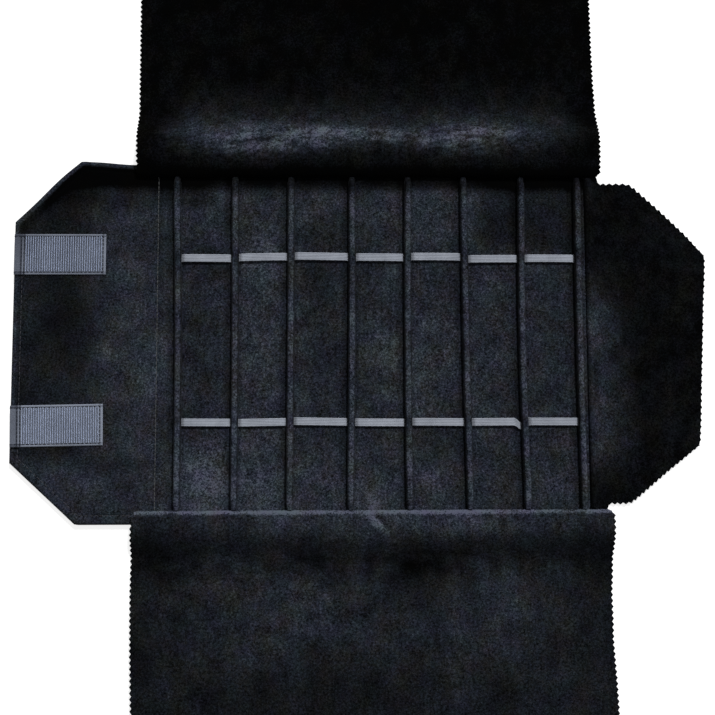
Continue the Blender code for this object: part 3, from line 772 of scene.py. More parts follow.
def ribProfile():
    # Outer points (across, height) anticlockwise from the foot's right corner, seen from the bottom edge
    centre, foot, footZ = ribTop - rib["radius"], rib["foot"], rib["footZ"]
    start = -radians(60)
    # the foot's right side, from its sewn edge up to the neck
    right = [(foot, footZ - 0.12), (foot - 0.05, footZ + 0.08), (1.45, 3.0), (rib["neck"], 3.28)]
    arc = [start + (pi - 2 * start) * n / rib["arcSteps"] for n in range(rib["arcSteps"] + 1)]
    crown = [(rib["radius"] * cos(a), centre + rib["radius"] * sin(a)) for a in arc]
    outer = np.array(right + crown + [(-x, z) for x, z in reversed(right)])
    angle = np.arctan2(outer[:, 1] - centre, outer[:, 0])
    inner = np.column_stack([rib["bore"] * np.cos(angle), centre + rib["bore"] * np.sin(angle)])
    return outer, inner, centre


def sleeveFaces(rows, count):
    # Round the outside and the bore, and across both ends
    faces, half, last = [], rows * count, (rows - 1) * count
    ring = [(c, (c + 1) % count) for c in range(count)]
    for a in range(0, last, count):
        b = a + count
        for c, d in ring:
            faces += [(a + c, b + c, b + d, a + d), (half + a + d, half + b + d, half + b + c, half + a + c)]
    for c, d in ring:
        faces += [(c, d, half + d, half + c), (last + d, last + c, half + last + c, half + last + d)]
    return faces


def ribToneAndPaintedLight(number, across, along, height):
    # a painted highlight along the rib's crown, and painted shadow at its upper end under the top flap's hump
    lit = (1 - smooth((np.abs(across - 0.15) - 1.1) / 1.0)) * smooth((height - 4.5) / 2)
    nap = -0.215 + 0.365 * lit + 0.08 * softNoise(along, across + 9.0 * number, 12, 34)
    nap = nap + 0.07 * softNoise(along, 40.0 * number + 0 * along, 50, 35)
    nap = nap + 0.06 * softNoise(along, across + 7.0 * number, 4, 36) - 0.42 * smooth((along - 86) / 12)
    return nap - 0.14 * sum(bump((along - y) / 2.8) for y in bandY.values())  # darker where a band runs through


def makeRib(number):
    outer, inner, centre = ribProfile()
    ys = np.linspace(-rib["end"], rib["end"], rib["stations"])
    toEnd = rib["end"] - np.abs(ys)
    swayX = rib["sway"] * softNoise(ys, 31.0 * number, 38, 31) * smooth(toEnd / 12)
    swayZ = rib["rise"] * softNoise(ys, 17.0 * number, 23, 32) - rib["settle"]
    plump = 1 + rib["plump"] * softNoise(ys, 53.0 * number, 9, 33)
    shrink = rib["endScale"] + (1 - rib["endScale"]) * smooth(toEnd / rib["taper"])
    rings = []
    for profile in (outer, inner):
        high = smooth((profile[None, :, 1] - rib["sewnZ"]) / rib["freeOver"])
        scale = 1 + (plump[:, None] * shrink[:, None] - 1) * high
        px = profile[None, :, 0] * scale + ribLine(number - 1, ys)[:, None] + swayX[:, None] * high
        pz = rib["waistZ"] + (profile[None, :, 1] - rib["waistZ"]) * scale + swayZ[:, None] * high
        rings.append(np.stack([px, columns(ys, len(outer)), pz], -1).reshape(-1, 3))
    points = np.concatenate(rings)
    nap = ribToneAndPaintedLight(number, points[:, 0] - ribLine(number - 1, points[:, 1]), points[:, 1], points[:, 2])
    faces = sleeveFaces(len(ys), len(outer))
    piece = pieceFrom(f"rib_sleeve_{number}", points, faces, velourLining, nap)
    body = "channel_7" if number == 8 else f"rib_{number}"
    dress(piece, [f"rib_{number}"], body=body)
    length = 2 * cord["end"]
    made = grown(f"piping_cord_{number}", twistedCord, [(0, 0, 0), (0, 0, 1)], {
        "Length": length, "Strands": cord["strands"], "Offset": cord["offset"], "Strand": cord["strand"],
        "Turns": length / cord["pitch"], "Material": cordCotton,
    })

    def laid(co):  # it grew upwards from the origin, and is laid along its rib
        y = co[:, 2] - cord["end"]
        return np.column_stack([co[:, 0] + ribLine(number - 1, y), y, centre - co[:, 1]])

    movePoints(made, laid)
    dress(made, [f"rib_cord_{number}"], body=body)


for number in range(1, 9):
    makeRib(number)
print("ribs made")


# Elastic bands: a span over each channel, its ends tucked under the ribs

elastic = {
    "width": 4.7, "thickness": 0.75, "threads": 5, "threadDepth": 0.14, "lift": 0.45, "bow": 0.35,
    "tuck": 1.35, "tuckZ": 3.45, "rampLength": 3.2, "scallop": 0.06, "scallopPitch": 1.4, "clear": 5.2,
    "twist": 2.3, "twistLift": 0.8,
    # how far each span lies above the band's line, and how it slants
    "upper": (-1.5, -0.8, -0.4, -0.9, -0.5, -1.8, -1.5), "lower": (-1.5, -1.5, -1.1, -1.7, -1.5, -1.5, -1.4),
    "tilt": (-0.006, 0.018, -0.016, -0.008, -0.008, 0.006, -0.004),
}


def makeElastic(place):
    centre, half = bandY[place], elastic["thickness"] / 2
    across = np.linspace(-1, 1, 8 * elastic["threads"] + 1)
    for number in range(1, 8):
        left, right = ribLine(number - 1, centre) + elastic["tuck"], ribLine(number, centre) - elastic["tuck"]
        xs = ticks(left, right, 1.0, fine=[(left, 3.0, 0.35), (right, 3.0, 0.35)])
        x, v = columns(xs, len(across)), columns(across, len(xs)).T
        shift = elastic[place][number - 1] + elastic["tilt"][number - 1] * (x - (left + right) / 2)
        scallop = elastic["scallop"] * np.sin(x * 2 * pi / elastic["scallopPitch"])
        scallop = scallop * smooth((np.abs(v) - 0.85) / 0.15) * np.sign(v)
        y = centre + shift + v * elastic["width"] / 2 + scallop
        inner = np.clip(x, ribX[number - 1] + elastic["clear"], ribX[number] - elastic["clear"])
        under = liningHeight(inner, np.full_like(x, centre))
        rise = band(x, left, elastic["rampLength"], right, elastic["rampLength"])
        bow = elastic["bow"] * np.sin(pi * (x - left) / (right - left))
        z = elastic["tuckZ"] + (under.max() + elastic["lift"] + half - elastic["tuckZ"]) * rise + bow
        if place == "lower" and number == 6:  # it is twisted where it goes under rib 7
            turn = smooth((x - (right - 5.5)) / 4.5)
            y = y - elastic["twist"] * turn - 0.25 * (v + 1) * turn
            z = z + elastic["twistLift"] * turn * (1 - turn) * 4 * (v + 1) / 2
        if place == "lower" and number == 7:
            y = y + 0.8 * smooth((left + 2.5 - x) / 2.5) * v
        groove = np.abs(np.cos(v * elastic["threads"] * pi / 2))
        relief = elastic["threadDepth"] * (groove ** 0.6 - 1)
        top, bottom = (np.stack([x, y, z + sign * (half + relief)], -1) for sign in (1, -1))
        # painted shade in the grooves between the threads and along the edges, deepest on the lower edge, which faces
        # away from the light
        nap = groove * (1 - 0.4 * smooth((np.abs(v) - 0.8) / 0.15)) - 0.3 * smooth((-v - 0.7) / 0.3)
        piece = closedPiece(f"elastic_{place}_{number}", top, bottom, elasticKnit, nap)
        dress(piece, [f"elastic_band_{place}"], body=f"channel_{number}")


makeElastic("upper")
makeElastic("lower")
print("elastic bands made")


# Tapes: a woven ground with a field of hooks or loops, sewn down all round

def placed(points, centre, turn=0.0):
    points = np.asarray(points, float)
    c, s = cos(turn), sin(turn)
    x, y, z = points[..., 0], points[..., 1], points[..., 2]
    return np.stack([centre[0] + x * c - y * s, centre[1] + x * s + y * c, centre[2] + z], -1)


def threadRows(name, shape, tape, place, length, width, material):
    rows, count = (round(side / pitch) + 1 for side, pitch in zip((length, width), tape["pitches"]))
    return grown(name, threadField, shape, {
        "Length": length, "Width": width, "Rows": rows, "Columns": count, "Thread": tape["thread"],
        "Turn": tape["turn"], "Uneven": tape["uneven"], "Seed": tape["seeds"][place], "Material": material,
    })


# Hook tapes on the closing flap. Distances are from the tape's edges, and bars are two lines of stitching
hookTape = {
    "length": 55.45, "width": 25.0, "ground": 0.5, "lift": 0.22, "sideBorder": 1.7, "rightBorder": 2.6,
    "leftBorder": 7.3, "bars": (4.3, 6.0), "sideSeam": 1.5, "endSeam": 1.7, "pitches": (1.42, 0.72), "thread": 0.19,
    "turn": 0.3, "uneven": 0.08, "seeds": {"upper": 5, "lower": 9},
    "aside": (-0.02, -0.6), "selvedge": 0.10, "sideSunk": 0.12, "sunk": 0.22, "hem": 0.18, "rimRadius": 0.3,
    "ribbing": 0.05, "hooksIn": 0.8, "hooksAside": -0.25, "hooksSunk": 0.1,
    # pitch, length, thread, rise and sink of the stitches
    "seam": (2.5, 1.7, 0.25, 0.1, 0.12), "bar": (2.4, 1.7, 0.28, 0.1, 0.12),
    "tone": {"upper": -0.06, "lower": 0.05}, "lies": {"upper": 0.0, "lower": radians(1.0)},
}
hookShape = [(0, 0.0, 0.0), (0, 0.0, 0.45), (0, 0.08, 0.74), (0, 0.30, 0.86), (0, 0.52, 0.74), (0, 0.58, 0.55)]


def makeHookTape(place):
    tape, turn = hookTape, hookTape["lies"][place]
    centre = [middleOf(f"hook_tape_{place}", axis) + tape["aside"][axis] for axis in (0, 1)]
    centre.append(liningTop + tape["lift"])
    length, width, ground = tape["length"], tape["width"], tape["ground"]
    xs = ticks(-length / 2, length / 2, 0.7, fine=[(length / 2, 2.2, 0.35), (-length / 2, 6.5, 0.5)])
    ys = ticks(-width / 2, width / 2, 0.7, fine=[(width / 2, 2.0, 0.3), (-width / 2, 2.0, 0.3)])
    x, y = np.meshgrid(xs, ys, indexing="ij")
    side, toRight, toLeft = width / 2 - np.abs(y), length / 2 - x, x + length / 2
    endSeam, sideSeam, lastBar = tape["endSeam"], tape["sideSeam"], tape["bars"][1]
    z = ground + tape["selvedge"] * bump((side - 0.7) / 0.5) - tape["sideSunk"] * bump((side - sideSeam) / 0.22)
    z = z - tape["sunk"] * bump((toRight - endSeam) / 0.3) - tape["sunk"] * bump((toLeft - lastBar) / 0.3)
    z = z + tape["hem"] * smooth((lastBar - 0.4 - toLeft) / 0.5)  # the turned-under end
    z = z + tape["ribbing"] * np.sin(x * 2 * pi / tape["pitches"][0]) * smooth((side - 1.6) / 0.2)
    z = z - rolledEdge(np.minimum(side, np.minimum(toRight, toLeft)), tape["rimRadius"])
    top, bottom = (placed(np.stack([x, y, height + 0 * x], -1), centre, turn) for height in (z, 0))
    field = smooth((side - tape["sideBorder"]) / 0.3) * smooth((toRight - tape["rightBorder"] + 0.6) / 0.3)
    field = field * smooth((toLeft - tape["leftBorder"] + 0.6) / 0.3)
    sunk = bump((toRight - endSeam) / 0.5) + bump((side - sideSeam) / 0.35)
    bars = sum(bump((toLeft - bar) / 0.55) for bar in tape["bars"])
    # painted shade on the ground under the hooks and in the sunk seams and bars; darker also at the turned-under end
    # and along the sides
    tone = 0.29 + tape["tone"][place] - 0.34 * field - 0.24 * np.clip(sunk, 0, 1) - 0.5 * np.clip(bars, 0, 1)
    tone = tone - 0.38 * smooth((6 - toLeft) / 3) - 0.14 * smooth((2.2 - side) / 1)
    tone = tone - 0.08 * field * smooth((20 - toLeft) / 14)
    woven = closedPiece(f"hook_tape_ground_{place}", top, bottom, tapeWeave, tone)
    dress(woven, [f"hook_tape_{place}"], body="closing_flap_tip")

    fieldLength = length - tape["leftBorder"] - tape["rightBorder"]
    fieldWidth = width - 2 * tape["sideBorder"] - tape["hooksIn"]
    hooks = threadRows(f"hooks_{place}", hookShape, tape, place, fieldLength, fieldWidth, hookNylon)
    middle = ((tape["leftBorder"] - tape["rightBorder"]) / 2, tape["hooksAside"], ground - tape["hooksSunk"])
    start = placed([middle], centre, turn)[0]
    movePoints(hooks, lambda co: placed(co, start, turn))
    dress(hooks, [], body="closing_flap_tip")

    inX, inY, outX = length / 2 - endSeam, width / 2 - sideSeam, -length / 2 + 0.8
    corners = [(outX, inY), (inX, inY), (inX, -inY), (outX, -inY)]
    rim = [(px, py, ground - 0.02) for px, py in dense(corners, 0.5)]
    first, last = (-length / 2 + bar for bar in tape["bars"])
    back = [(last, py, ground - 0.02) for py in np.linspace(-inY, inY, 40)]
    back += [(first, py, ground + 0.12) for py in np.linspace(inY, -inY, 40)]
    for name, line, sizes in (("stitching", rim, tape["seam"]), ("bar", back, tape["bar"])):
        sewn = stitches(f"hook_tape_{name}_{place}", placed(line, centre, turn), stitchDark, *sizes)
        dress(sewn, [], body="closing_flap_tip")


# Loop tapes let into the outside of channel 6
loopTape = {
    "topZ": 0.94, "ground": 0.45, "border": 1.6, "seamIn": 1.1, "seamZ": 0.47, "pitches": (1.05, 1.05),
    "thread": 0.075, "turn": 3.14, "uneven": 0.12, "seeds": {"upper": 21, "lower": 27},
    "seam": (2.9, 2.0, 0.16, -0.08, -0.1),
}
loopShape = [
    (-0.32, 0, 0), (-0.42, 0.05, 0.18), (-0.22, 0.02, 0.40), (0.10, -0.03, 0.42), (0.36, 0, 0.2), (0.28, 0.03, 0.0),
]


def makeLoopTape(place):
    low, high = loopBoxes[place]
    length, width = high.x - low.x, high.y - low.y
    centre = ((low.x + high.x) / 2, (low.y + high.y) / 2, 0)
    xs, ys = np.linspace(-length / 2, length / 2, 40), np.linspace(-width / 2, width / 2, 34)
    x, y = np.meshgrid(xs, ys, indexing="ij")
    edge = np.minimum(length / 2 - np.abs(x), width / 2 - np.abs(y))
    bottomZ = loopTape["topZ"] - loopTape["ground"]
    lowZ = bottomZ - 0.06 * bump((edge - 0.5) / 0.4) + rolledEdge(edge, 0.25)
    top, bottom = (placed(np.stack([x, y, z + 0 * x], -1), centre) for z in (loopTape["topZ"], lowZ))
    ground = closedPiece(f"loop_tape_ground_{place}", top, bottom, loopWeave)
    dress(ground, [f"loop_tape_{place}"], body="channel_6")
    fieldLength, fieldWidth = length - 2 * loopTape["border"], width - 2 * loopTape["border"]
    loops = threadRows(f"loops_{place}", loopShape, loopTape, place, fieldLength, fieldWidth, loopNylon)
    movePoints(loops, lambda co: placed(co * (1, -1, -1), (*centre[:2], bottomZ + 0.10)))  # they point down
    dress(loops, [], body="channel_6")
    inX, inY = length / 2 - loopTape["seamIn"], width / 2 - loopTape["seamIn"]
    corners = [(-inX, -inY), (inX, -inY), (inX, inY), (-inX, inY), (-inX, -inY)]
    rim = [(px, py, loopTape["seamZ"]) for px, py in dense(corners, 0.5)]
    sewn = stitches(f"loop_tape_stitching_{place}", placed(rim, centre), stitchDark, *loopTape["seam"])
    dress(sewn, [], body="channel_6")


for place in ("upper", "lower"):
    makeHookTape(place)
for place in ("upper", "lower"):
    makeLoopTape(place)
print("hook and loop tapes made")


# Cover flaps: velour sewn into the panel's edges and folded back over a soft hump. The drifts say how far
# the left and right edges lie from straight, at a distance along the cloth

flaps = {
    "top": {
        "sign": 1, "left": 25.5, "right": 13.0, "crest": 20.0, "height": 10.0, "width": 42.0, "pitch": 3.1,
        "reach": 186.0, "leftDrift": ((0, 0), (190, 0)), "seed": 40, "material": velourFlaps,
        "rightDrift": ((0, 1.2), (40, 0.8), (62, -0.7), (100, -1.8), (150, -2.6), (210, -3.2)),
    },
    "bottom": {
        "sign": -1, "left": 27.0, "right": 16.5, "crest": 11.0, "height": 8.0, "width": 29.0, "pitch": 3.5,
        "reach": 186.0, "leftDrift": ((0, 1.2), (25, 0.6), (50, 0.2), (90, 1.0), (120, 1.9), (190, 1.9)),
        "rightDrift": ((0, 1.8), (25, 1.8), (50, 0.2), (78, 0.4), (103, 2.2), (118, 3.0), (190, 3.3)),
        "seed": 60, "material": velourLining,
    },
}
flapCloth = {
    "thickness": 1.4, "toothDepth": 1.15, "frontCorner": 4.0, "tab": 1.1, "tabThickness": 0.7,
    "waves": ((0.45, 46), (0.22, 15), (0.10, 5)),  # height and width
    "finePast": 8,  # how far past the hump the rows stay fine
    "bend": (0.2, 5.5),  # start and end of the bend, from the seam
}
flapFoot = liningTop + 0.3 + halfCloth
flatZ = halfCloth
crease = {"x": 11.5, "out": 4.8, "length": 6.5, "slant": 0.79, "depth": 1.2}


def lengthsAlong(*sides):  # distance along a line, from its coordinates
    return np.concatenate([[0], np.cumsum(np.hypot(*(np.diff(side) for side in sides)))])


def humpLine(flap):
    # Height over the distance from the seam: up the front as a quarter ellipse, down the back as a wave
    crest, peak, width = flap["crest"], flap["height"] - halfCloth, flap["width"]
    out = np.concatenate([crest * (1 - np.cos(np.linspace(0, pi / 2, 80))), np.linspace(crest, width, 60)[1:]])
    front = flapFoot + (peak - flapFoot) * np.sqrt(np.clip(1 - np.square(1 - out / crest), 0, 1))
    back = peak + (flatZ - peak) * (1 - np.cos(pi * np.clip((out - crest) / (width - crest), 0, 1))) / 2
    z = np.append(np.where(out < crest, front, back), flatZ)
    out = np.append(out, flap["reach"])
    return lengthsAlong(out, z), out, z


def dent(x, o, h):
    # The small crease in the middle of the bottom flap's fold, which runs down to the right
    slant, dx, do = crease["slant"], x - crease["x"], o - crease["out"]
    u, v = dx * cos(slant) + do * sin(slant), -dx * sin(slant) + do * cos(slant)
    along = bump(u / crease["length"]) * smooth(o / 1.5)
    h = h - crease["depth"] * bump(v / 1.7) * along + 0.9 * bump((v + 3.0) / 1.9) * along
    return h + 0.6 * bump((v - 2.8) / 1.6) * along


def flapPlace(flap, line):
    # A function from (distance along the cloth, X) to a place
    length, out, z = line
    sign, seed, width = flap["sign"], flap["seed"], flap["width"]
    farLeft, farRight = ribX[0] - flap["left"], ribX[-1] + flap["right"]

    def place(s, x):
        o = np.interp(s, length, out)
        h = np.interp(s, length, z) + np.minimum(s, 0)
        rising = smooth(o / 6) * (1 - smooth((o - width + 4) / 10))  # 1 on the hump, 0 at seam and on the table
        waves = enumerate(flapCloth["waves"])
        lift = sum(height * softNoise(x, o, size, seed + n) for n, (height, size) in waves)
        h = h + lift * rising * smooth((h - flatZ) / 2.5)
        buckle = np.maximum(softNoise(x, o, 60, seed + 3) - 0.15, 0) * 1.6 + 0.12 * (1 + softNoise(x, o, 9, seed + 4))
        rim = np.minimum(np.minimum(x - farLeft, farRight - x), flap["reach"] - o)
        curl = bump(rim / 7) * np.maximum(softNoise(x, o, 33, seed + 5) + 0.1, 0) * 1.5
        h = h + smooth((o - width) / 12) * (buckle + curl)
        y = sign * (seamY + o + 0.5 * rising * softNoise(x, o * 0, 40, seed + 6))
        if sign < 0:
            h = dent(x, o, h)
        return np.stack([x + 0 * h, y, h], -1)

    return place


# Painted highlights where the pile of the top flap catches the light on its crest, as marks() takes them
glints = [
    (-68.0, 23.5, 26.0, 11.0, 0.80), (-28.0, 23.5, 22.0, 9.0, 0.66), (-12.0, 29.0, 24.0, 4.0, 0.45),
    (20.0, 25.0, 20.0, 6.0, 0.60), (66.0, 25.0, 20.0, 11.0, 0.74), (96.0, 26.0, 20.0, 10.0, 0.38),
    (-106.0, 27.0, 14.0, 9.0, 0.30), (45.0, 20.5, 13.0, 5.0, 0.42),
]


def topToneAndPaintedLight(nap, s, x):
    # Flat and black far out, with painted highlights on the crest and on the slope behind it, and painted shade on
    # the front by the seam
    streak = 0.5 * softNoise(x * 0.8 + s * 1.6, s * 2.2 - x * 0.5, 13, 71)
    streak = streak + 0.5 * softNoise(x * 0.9 + s, s * 2.6 - x * 0.4, 5, 72)
    streak = streak + 0.6 * softNoise(x * 0.6 + s * 0.9, s * 2.4 - x * 0.9, 3.2, 73)
    mottle = 0.045 * softNoise(x, s * 0.8, 6, 80) + 0.03 * softNoise(x, s, 2.6, 81)
    nap = 0.35 * nap + mottle - 0.485 + marks(x, s, glints) * (0.61 + 0.5 * streak)
    nap = nap - 0.03 * smooth((s - 90) / 40) - 0.10 * smooth((9 - s) / 6)
    return nap + 0.27 * bump((s - 35) / 21) * band(x, -128, 30, 146, 30)


def bottomToneAndPaintedLight(nap, s, x):
    # A painted highlight on the lip at the fold, painted shade in the valley behind the hump, a painted lighter patch
    # on the hump's back in the middle, and a painted highlight on the crease with painted shade beside it
    wander, middle = 3.0 * softNoise(x, 0 * x, 45, 75), bump((x - 24) / 60)
    lip = (0.68 + 0.34 * softNoise(x, 0 * x, 16, 79)) * bump((s - 1.0) / 1.3) + 0.09 * bump((s - 6) / 6)
    rough = 0.4 * softNoise(x, s, 15, 77) + 0.5 * softNoise(x, s * 1.4, 6, 78)
    valley = (0.13 + 0.14 * middle) * (1 + rough) * bump((s - 30 - wander - 4 * middle) / 11)
    sides = 0.07 * smooth((-x - 112) / 18) + 0.12 * smooth((np.abs(x - 8) - 88) / 40) * (1 - smooth((s - 70) / 40))
    nap = nap - 0.11 + lip + 0.07 * middle * bump((s - 17) / 8) - valley - 0.13 * smooth((s - 66) / 45) - sides
    u, v = (x - 10.8) * 0.707 + (s - 6.0) * 0.707, (x - 10.8) * 0.707 - (s - 6.0) * 0.707
    # painted highlight on the crease's ridge, with painted shade beside it
    creaseHighlightAndShade = 0.55 * bump(u / 7) * bump((v + 0.6) / 2.2) - 0.2 * bump((u + 1) / 5) * bump((v - 3.8) / 1.4)
    return nap + 0.05 * softNoise(x * 2.5, s * 0.5, 24, 76) + creaseHighlightAndShade


def saw(distance, pitch):  # 0 on the teeth's tips, 1 in the notches
    return 1 - np.abs(2 * np.mod(distance / pitch, 1.0) - 1)


def addTab(x, s, thick, end):
    # Two more columns at one end of the cloth: the tab's edge, and its root right beside the full thickness
    sign = -1 if end == 0 else 1
    root, edge = x[:, end] + sign * 0.01, x[:, end] + sign * flapCloth["tab"]
    thin = np.full_like(root, flapCloth["tabThickness"])
    tab = [(root, edge), (s[:, end], s[:, end]), (thin, thin)]
    if end == 0:
        return tuple(np.column_stack([b, a, grid]) for (a, b), grid in zip(tab, (x, s, thick)))
    return tuple(np.column_stack([grid, a, b]) for (a, b), grid in zip(tab, (x, s, thick)))


def makeFlap(side):
    flap = flaps[side]
    line = humpLine(flap)
    total, place = line[0][-1], flapPlace(flap, line)
    pitch, depth = flap["pitch"], flapCloth["toothDepth"]
    teeth = round(total / pitch)
    toothLength = total / teeth
    split = round((flap["width"] + flapCloth["finePast"]) / toothLength)
    rows = np.concatenate([np.arange(split * 4) / 4, np.arange(split * 2, teeth * 2 + 1) / 2]) * toothLength
    starts = [ribX[0] - flap["left"], *ribX[:7]]
    for number, (left, right) in enumerate(zip(starts, [*ribX[:7], ribX[7] + flap["right"]])):
        share = np.linspace(0, 1, 2 * round((right - left) / pitch) + 1)
        s = columns(rows, len(share))
        pulled, tooth = rolledEdge(s, flapCloth["frontCorner"]), saw(s, toothLength) * depth
        x0 = left + (pulled + np.interp(s, *zip(*flap["leftDrift"])) if number == 0 else 0)
        x1 = right - (pulled - np.interp(s, *zip(*flap["rightDrift"])) if number == 7 else 0)
        x = x0 + (x1 - x0) * share[None, :]
        if number == 0:
            x[:, 0] += tooth[:, 0]
        if number == 7:
            x[:, -1] -= tooth[:, -1]
        s[-1, 1::2] -= depth
        # thin tabs that lie inside the next parts of the cloth and close the corner when the panel is rolled
        thick = np.full_like(x, flapCloth["thickness"])
        if number > 0:
            x, s, thick = addTab(x, s, thick, 0)
        if number < 7:
            x, s, thick = addTab(x, s, thick, -1)
        seed = flap["seed"]
        nap = 0.06 * softNoise(x, s, 28, seed + 7) + 0.05 * softNoise(x, s, 9, seed + 8)
        nap = topToneAndPaintedLight(nap, s, x) if side == "top" else bottomToneAndPaintedLight(nap, s, x)
        piece = shell(f"{side}_flap_cloth_{number}", place, s, x, thick[..., None], flap["material"], nap)
        body = f"channel_{number}" if number else "closing_flap_root"
        strip = f"{side}_cover_flap_{number}"
        start, end = ((0, flap["sign"] * (seamY + past), 0) for past in flapCloth["bend"])
        dress(piece, [strip], joint=(body, strip, start, end))
        lies = f"lining_cloth_{max(number, 1)}"
        (right - left) * mm


makeFlap("top")
makeFlap("bottom")
print("cover flaps made")


# End flap: velour from the panel's right edge, turned over onto the table, with two cut corners

endFlap = {
    "x": boxOf("end_flap_root")[0].x + halfCloth, "right": boxOf("end_flap_tip")[1].x + 1.9, "edge": 99.0,
    "legTop": 4.0, "turn": 1.25, "slope": radians(35), "cornerAlong": 45.0, "across": {1: 45.0, -1: 35.0},
    "pitch": 3.9, "thickness": 1.4, "skew": 0.053, "allowance": ((141, 2.2), (144, 2.2), (145, 4.0)),
    "allowanceEnds": (147.0, 150.0), "foot": coverTop + 0.3, "cut": ribX[-1] + 22.0,
    "cornerRound": 1.1,
    "cornerPitch": 0.735, "deeper": {1: 0.4, -1: 0.3},  # the corners' teeth, against the straight ones
    "endRound": (0.9, 2.0),  # how far the end's corners are worn back, and over what width
}
endBends = {  # by part: the bodies it bends between, and the start and end of the bend past rib 8
    "root": ("channel_7", "end_flap_root", 4.7, 8.1), "tip": ("end_flap_root", "end_flap_tip", 33.0, 45.0),
}


def endLine():
    x, turn, top, slope = endFlap["x"], endFlap["turn"], endFlap["legTop"], endFlap["slope"]
    points = [(x, endFlap["foot"]), (x, top)]
    for a in ((pi / 2 + slope) * n / 20 for n in range(1, 21)):
        points.append((x + turn * (1 - cos(a)), top + turn * sin(a)))
    slopeX, slopeZ = points[-1]
    run = (slopeZ - flatZ) / np.tan(slope)
    for t in (n / 30 for n in range(1, 31)):  # the slope eases out onto the table
        points.append((slopeX + run * 1.9 * t, slopeZ + (flatZ - slopeZ) * (1 - (1 - t) ** 1.9)))
    xs, zs = np.array(points + [(endFlap["right"], flatZ)]).T
    return lengthsAlong(xs, zs), xs, zs


def endPlace(line):
    length, xs, zs = line

    def place(s, y):
        x, z = np.interp(s, length, xs), np.interp(s, length, zs) + np.minimum(s, 0)
        free = smooth((s - 10) / 12)
        wave = np.maximum(softNoise(x, y, 44, 81) - 0.1, 0) * 1.5 + 0.12 * (1 + softNoise(x, y, 8, 82))
        z = z + free * wave + 0.15 * softNoise(x, y, 18, 83) * smooth(s / 4) * (1 - free)
        x = x + 0.5 * softNoise(y, 0 * y, 30, 84) * smooth(s / 5) * (1 - free)
        x = x + endFlap["skew"] * (y + 5) * smooth((s - 6) / 60)  # it lies a little turned
        return np.stack([x, y, z], -1)

    return place


def endNap(s, y):
    nap = -0.41 + 0.03 * softNoise(s, y, 25, 85) + 0.03 * softNoise(s, y, 9, 86)
    nap = nap + 0.05 * softNoise(s, y * 0.8, 5.5, 88) + 0.04 * softNoise(s, y, 2.6, 89)
    seam = (1 - smooth((s - 10) / (24 + 10 * smooth((25 - y) / 30)))) * smooth((62 - np.abs(y + 20)) / 40 + 0.4)
    return nap + seam * (0.27 + 0.12 * softNoise(s, y, 40, 87) + 0.08 * softNoise(s, y * 0.7, 7, 90))


def softLower(a, b, reach):  # the lower of two lines, with the corner between them rounded
    return -reach * np.log(np.exp(-(a - a.max()) / reach) + np.exp(-(b - a.max()) / reach)) + a.max()


def makeEndFlap():
    line = endLine()
    total, place = line[0][-1], endPlace(line)
    edge, cornerAlong = endFlap["edge"], endFlap["cornerAlong"]
    pitch, depth = endFlap["pitch"], flapCloth["toothDepth"]
    shoulder = total - cornerAlong
    steps = 2 * round(len(ticks(0, shoulder, pitch / 4)) / 2)
    cornerTeeth = round(cornerAlong / (pitch * endFlap["cornerPitch"]))
    corner = shoulder + np.linspace(0, cornerAlong, 4 * cornerTeeth + 1)
    rows = np.concatenate([np.linspace(0, shoulder, steps + 1), corner[1:]])
    along = np.interp(rows, line[0], line[1])
    wider = np.interp(along, *zip(*endFlap["allowance"]))
    edges, widths = {}, {}
    for sign, end in zip((1, -1), endFlap["allowanceEnds"]):
        cutBack = (rows - shoulder) * endFlap["across"][sign] / cornerAlong
        widths[sign] = wider * (1 - smooth((along - end) / 1.5))
        edges[sign] = sign * (softLower(edge + 0 * rows, edge - cutBack, endFlap["cornerRound"]) + widths[sign])
    endLength = edges[1][-1] - edges[-1][-1]
    endTeeth = round(endLength / pitch)
    share = np.linspace(0, 1, 4 * endTeeth + 1)
    s = columns(rows, len(share))
    # teeth along the straight edges, then along each cut corner, and across the end
    straight, slanted = shoulder / round(shoulder / pitch), cornerAlong / cornerTeeth
    tooth = np.where(rows < shoulder, saw(rows, straight), saw(rows - shoulder, slanted)) * depth
    tooth = tooth * (1 - smooth(widths[1]))
    y = edges[-1][:, None] + (edges[1] - edges[-1])[:, None] * share[None, :]
    onCorner = smooth((rows - shoulder) / 2)
    y[:, -1] -= tooth * (1 + endFlap["deeper"][1] * onCorner)
    y[:, 0] += tooth * (1 + endFlap["deeper"][-1] * onCorner)
    near, (back, reach) = np.minimum(share, 1 - share) * endLength, endFlap["endRound"]
    s -= back * np.exp(-near / reach)[None, :] * smooth((rows - total + 14) / 14)[:, None]
    s[-1, :] -= saw(share * endTeeth, 1.0) * depth
    cut = int(np.argmin(np.abs(rows - np.interp(endFlap["cut"], line[1][1:], line[0][1:]))))
    for name, part in (("root", slice(0, cut + 1)), ("tip", slice(cut, None))):
        nap = endNap(s[part], y[part])
        piece = shell(f"end_flap_cloth_{name}", place, s[part], y[part], endFlap["thickness"], velourFlaps, nap)
        a, b, start, end = endBends[name]
        joint = (a, b, (ribX[-1] + start, 0, 0), (ribX[-1] + end, 0, 0))
        dress(piece, [f"end_flap_{name}"], joint=joint)
        size = ((rows[part][-1] - rows[part][0]) * mm, 2 * edge * mm)
        area = size[0] * size[1]
        if name == "tip":
            area -= cornerAlong * sum(endFlap["across"].values()) / 2 * mm * mm


makeEndFlap()
print("end flap made")


# Table, light and camera

